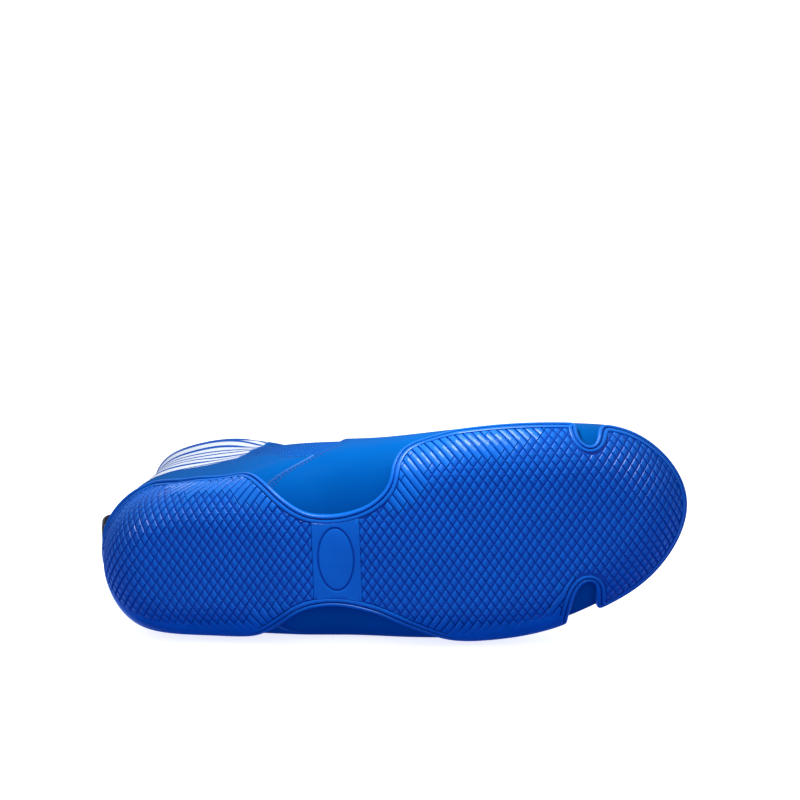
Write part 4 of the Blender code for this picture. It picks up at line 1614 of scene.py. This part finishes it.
# The lace in section: shares of its half width and of its thickness
LACE_SECTION = np.array((
    (-1, 0), (-0.9, 0.38), (-0.5, 0.5), (0, 0.52), (0.5, 0.5), (0.9, 0.38), (1, 0), (0.9, -0.38), (0.5, -0.5),
    (0, -0.5), (-0.5, -0.5), (-0.9, -0.38),
))
EYELET_LIFT = 0.1
EYELET_FLAT = 0.8


def lace_path(start, end, hump):
    """Points straight over the throat, from a lateral hole to a medial one, and their normals."""
    along = np.linspace(0, 1, LACE_POINTS)
    rib = start + (end - start) * along
    beside = np.linalg.norm(skin(start, 2.0) - skin(start, HOLE_ROW))
    between = np.linalg.norm(skin(start, 2.0) - skin(2 - end, 2.0))
    edge = beside / (2 * beside + between)
    near = np.clip(np.minimum(along, 1 - along) / edge, 0, 1)
    row = HOLE_ROW + (2.0 - HOLE_ROW) * near
    share = np.clip((along - edge) / (1 - 2 * edge), 0, 1)[:, None]
    first = skin(rib, row) * (1 - share) + skin(2 - rib, row) * share
    over = unit(outward(rib, row) * (1 - share) + outward(2 - rib, row) * share)
    lift = LACE_RISE + hump * np.sin(np.pi * along) ** 2
    path = first + over * lift[:, None]
    up = unit(over[0] + over[-1])
    across = path[-1] - path[0]
    across = unit(across - up * (across @ up))
    places = np.maximum.accumulate((path - path[0]) @ across)
    even = along * places[-1]
    level = np.interp(even, places, (path - path[0]) @ up)
    straight = path[0] + even[:, None] * across + level[:, None] * up
    facing = unit(interpolate(even, places, over))
    dive = np.clip(1 - np.minimum(along, 1 - along) / DIVE_SHARE, 0, 1)
    return straight - facing * (LACE_DIVE * dive ** 2)[:, None], facing


def add_band(parts, marks, path, over):
    """A flat braid with round edges along a path."""
    ahead = unit(np.gradient(path, axis=0))
    side = unit(np.cross(over, ahead))
    up = np.cross(ahead, side)
    across, high = (LACE_SECTION + (0, 0.5)).T * np.array((LACE_WIDTH / 2, LACE_THICK))[:, None]
    points = path[:, None] + side[:, None] * across[:, None] + up[:, None] * high[:, None]
    count = len(LACE_SECTION)
    faces = flipped(tube_faces(0, len(path), count))
    faces.append(list(range(count)))
    faces.append(list(range((len(path) - 1) * count, len(path) * count))[::-1])
    parts.add(points.reshape(-1, 3), faces, 0.0)
    lengths = run_lengths(path[None], 1)[0]
    marks.append(np.column_stack((np.tile(across, len(path)), np.repeat(lengths, count))))


def make_laces(finish):
    """The bar at the foot of the throat, and crossings with one band over the other."""
    parts, marks = Parts(), []
    add_band(parts, marks, *lace_path(BAR_RIB, BAR_RIB, BAR_HUMP))
    for above, below in zip(HOLE_RIBS, HOLE_RIBS[1:]):
        add_band(parts, marks, *lace_path(above, below, UNDER_HUMP))
        add_band(parts, marks, *lace_path(below, above, OVER_HUMP))
    piece = from_arrays("flat_lace", np.vstack(parts.points), parts.faces)
    write_uv(piece, "cloth", np.vstack(marks))
    soften(piece, 60)
    crossings = ["lace_crossing_%d" % number for number in range(1, len(HOLE_RIBS))]
    finish_piece(piece, finish, "lace", "lace_bar", *crossings)


def make_eyelets(finish):
    """Pressed rings round the lace holes."""
    sizes = {"major_radius": 2.5, "minor_radius": 0.55, "major_segments": 28, "minor_segments": 8}
    ring, faces = shape_of(bpy.ops.mesh.primitive_torus_add, **sizes)
    around = np.array([place for rib in HOLE_RIBS + (BAR_RIB,) for place in (rib, 2 - rib)])
    facing = outward(around, HOLE_ROW)
    side = unit(np.cross(facing, (1.0, 0.0, 0.0)))
    turns = np.stack((np.cross(side, facing), side, facing), -1)
    places = lifted(around, HOLE_ROW, OVERLAY_OUT + EYELET_LIFT)
    finish_piece(set_copies("eyelets", ring * (1, 1, EYELET_FLAT), faces, places, turns), finish, "leather")


# Stage

CAMERA_AIM = Vector((0.0007, -0.0001, 0.0496))
CAMERA_AZIMUTH = math.radians(6.03)
CAMERA_HEIGHT = math.radians(15.11)
CAMERA_ROLL = math.radians(-1.26)
CAMERA_DISTANCE = 1.3
PICTURE = 800.0
AIM_PIXEL = (396.3, 510.5)
PIXELS_PER_METRE = 1995.4

# The studio's light by height: each colour takes over from the one below it between two heights
SkyLevel = namedtuple("SkyLevel", "colour low high")
SKY_UNDER = (0.02, 0.03, 0.10)
SKY = (
    SkyLevel((0.42, 0.70, 1.80), -0.85, -0.4), SkyLevel((0.13, 0.22, 0.50), -0.45, -0.05),
    SkyLevel((0.88, 0.92, 0.96), -0.2, 0.8),
)
FLOOR_SIZE = 16.0
FLOOR_GLOW = 0.8
LIGHT_PLACE = Vector((0.005, -0.1, 0.26))
LIGHT_AIM = Vector((0.0, -0.05, 0.05))
LIGHT_SIZE = 0.08
LIGHT_WATTS = 0.68


def make_camera():
    data = bpy.data.cameras.new("camera")
    data.sensor_width = 36.0
    data.lens = PIXELS_PER_METRE * CAMERA_DISTANCE * data.sensor_width / PICTURE
    data.shift_x = (PICTURE / 2 - AIM_PIXEL[0]) / PICTURE
    data.shift_y = (AIM_PIXEL[1] - PICTURE / 2) / PICTURE
    level = math.cos(CAMERA_HEIGHT)
    sine, cosine = math.sin(CAMERA_AZIMUTH), math.cos(CAMERA_AZIMUTH)
    ahead = Vector((-sine * level, cosine * level, -math.sin(CAMERA_HEIGHT)))
    right = Vector((cosine, sine, 0.0))
    up = right.cross(ahead)
    rolled_right = right * math.cos(CAMERA_ROLL) + up * math.sin(CAMERA_ROLL)
    rolled_up = up * math.cos(CAMERA_ROLL) - right * math.sin(CAMERA_ROLL)
    camera = bpy.data.objects.new("camera", data)
    bpy.context.scene.collection.objects.link(camera)
    turn = Matrix((rolled_right, rolled_up, -ahead)).transposed().to_4x4()
    camera.matrix_world = Matrix.Translation(CAMERA_AIM - ahead * CAMERA_DISTANCE) @ turn
    bpy.context.scene.camera = camera


def make_light():
    """A small soft lamp overhead."""
    data = bpy.data.lights.new("overhead", "AREA")
    data.shape = "DISK"
    data.size = LIGHT_SIZE
    data.energy = LIGHT_WATTS
    light = bpy.data.objects.new("overhead", data)
    light.location = LIGHT_PLACE
    light.rotation_euler = (LIGHT_AIM - LIGHT_PLACE).to_track_quat("-Z", "Y").to_euler()
    light.visible_camera = False
    bpy.context.scene.collection.objects.link(light)


def studio_world():
    """Soft light that is white overhead and dim and bluish from below."""
    world = bpy.data.worlds.new("studio")
    world.use_nodes = True
    sky = Nodes(world.node_tree)
    height = sky.put("SeparateXYZ", "Z", {"Vector": sky.put("TexCoord", "Generated", {})})
    colour = SKY_UNDER
    for level in SKY:
        colour = sky.blend(sky.ramp(height, level.low, level.high), colour, level.colour)
    sky.join(colour, sky.tree.nodes["Background"].inputs["Color"])
    bpy.context.scene.world = world


def make_stage():
    """The pale floor, the light and the plain view of colours."""
    bpy.ops.object.select_all(action="DESELECT")
    bpy.ops.mesh.primitive_plane_add(size=FLOOR_SIZE)
    floor = bpy.context.object
    floor.name = "floor"
    white = Finish("floor_white", Base_Color=(0.86, 0.86, 0.86), Roughness=0.9)
    white.set(Emission_Color=(1.0, 1.0, 1.0), Emission_Strength=FLOOR_GLOW)
    floor.data.materials.append(white.material)
    floor.visible_diffuse = False
    floor.visible_glossy = False
    studio_world()
    make_light()
    bpy.context.scene.view_settings.view_transform = "Standard"


# How far in from their edges the panels are sewn
PANEL_SEAMS = (2.2, 4.4)
STAY_SEAM = 2.0


def make_shoe():
    make_outsole()
    make_upper()
    leather = leather_material()
    # The thread is darker than the leather with painted shade, which stands for the shade in and beside the
    # stitch holes
    thread = plain_material("thread", (0.001, 0.035, 0.23), 0.55, 700.0)
    make_panel("forefoot_leather", fore_place, "forefoot_overlay", leather, PANEL_SEAMS)
    make_panel("heel_leather", heel_place, "heel_overlay", leather, PANEL_SEAMS[:1])
    make_panel("eyestay_leather", stay_place, "eyestay", leather, (STAY_SEAM,), False)
    lines = [beside_edge(fore_place, edge, seam) for seam in PANEL_SEAMS for edge in ("top", "start", "end")]
    lines.append(beside_edge(heel_place, "top", PANEL_SEAMS[0]))
    lines += [beside_edge(stay_place, edge, STAY_SEAM) for edge in ("top", "foot")]
    make_stitches(lines, thread)
    make_heel_strip(woven_material("black_webbing", (0.030, 0.031, 0.040), (0.008, 0.008, 0.011), 1.3))
    tongue = soft_copy("tongue", "padded_tongue", 2)
    lining = knit_material("tongue_knit", (0.012, 0.07, 0.36), (0.004, 0.03, 0.18), 1.3)
    finish_piece(tongue, lining, "lining", "tongue")
    insole = soft_copy("insole", "sock_insole", 1)
    sock = knit_material("insole_knit", (0.01, 0.05, 0.26), (0.004, 0.02, 0.12), 1.0)
    finish_piece(insole, sock, "lining", "insole")
    make_eyelets(plain_material("eyelet_enamel", (0.004, 0.06, 0.32), 0.3, 200.0))
    make_laces(woven_material("lace_braid", (0.80, 0.83, 0.88), (0.42, 0.46, 0.55), 1.5))


make_camera()
make_stage()
make_shoe()
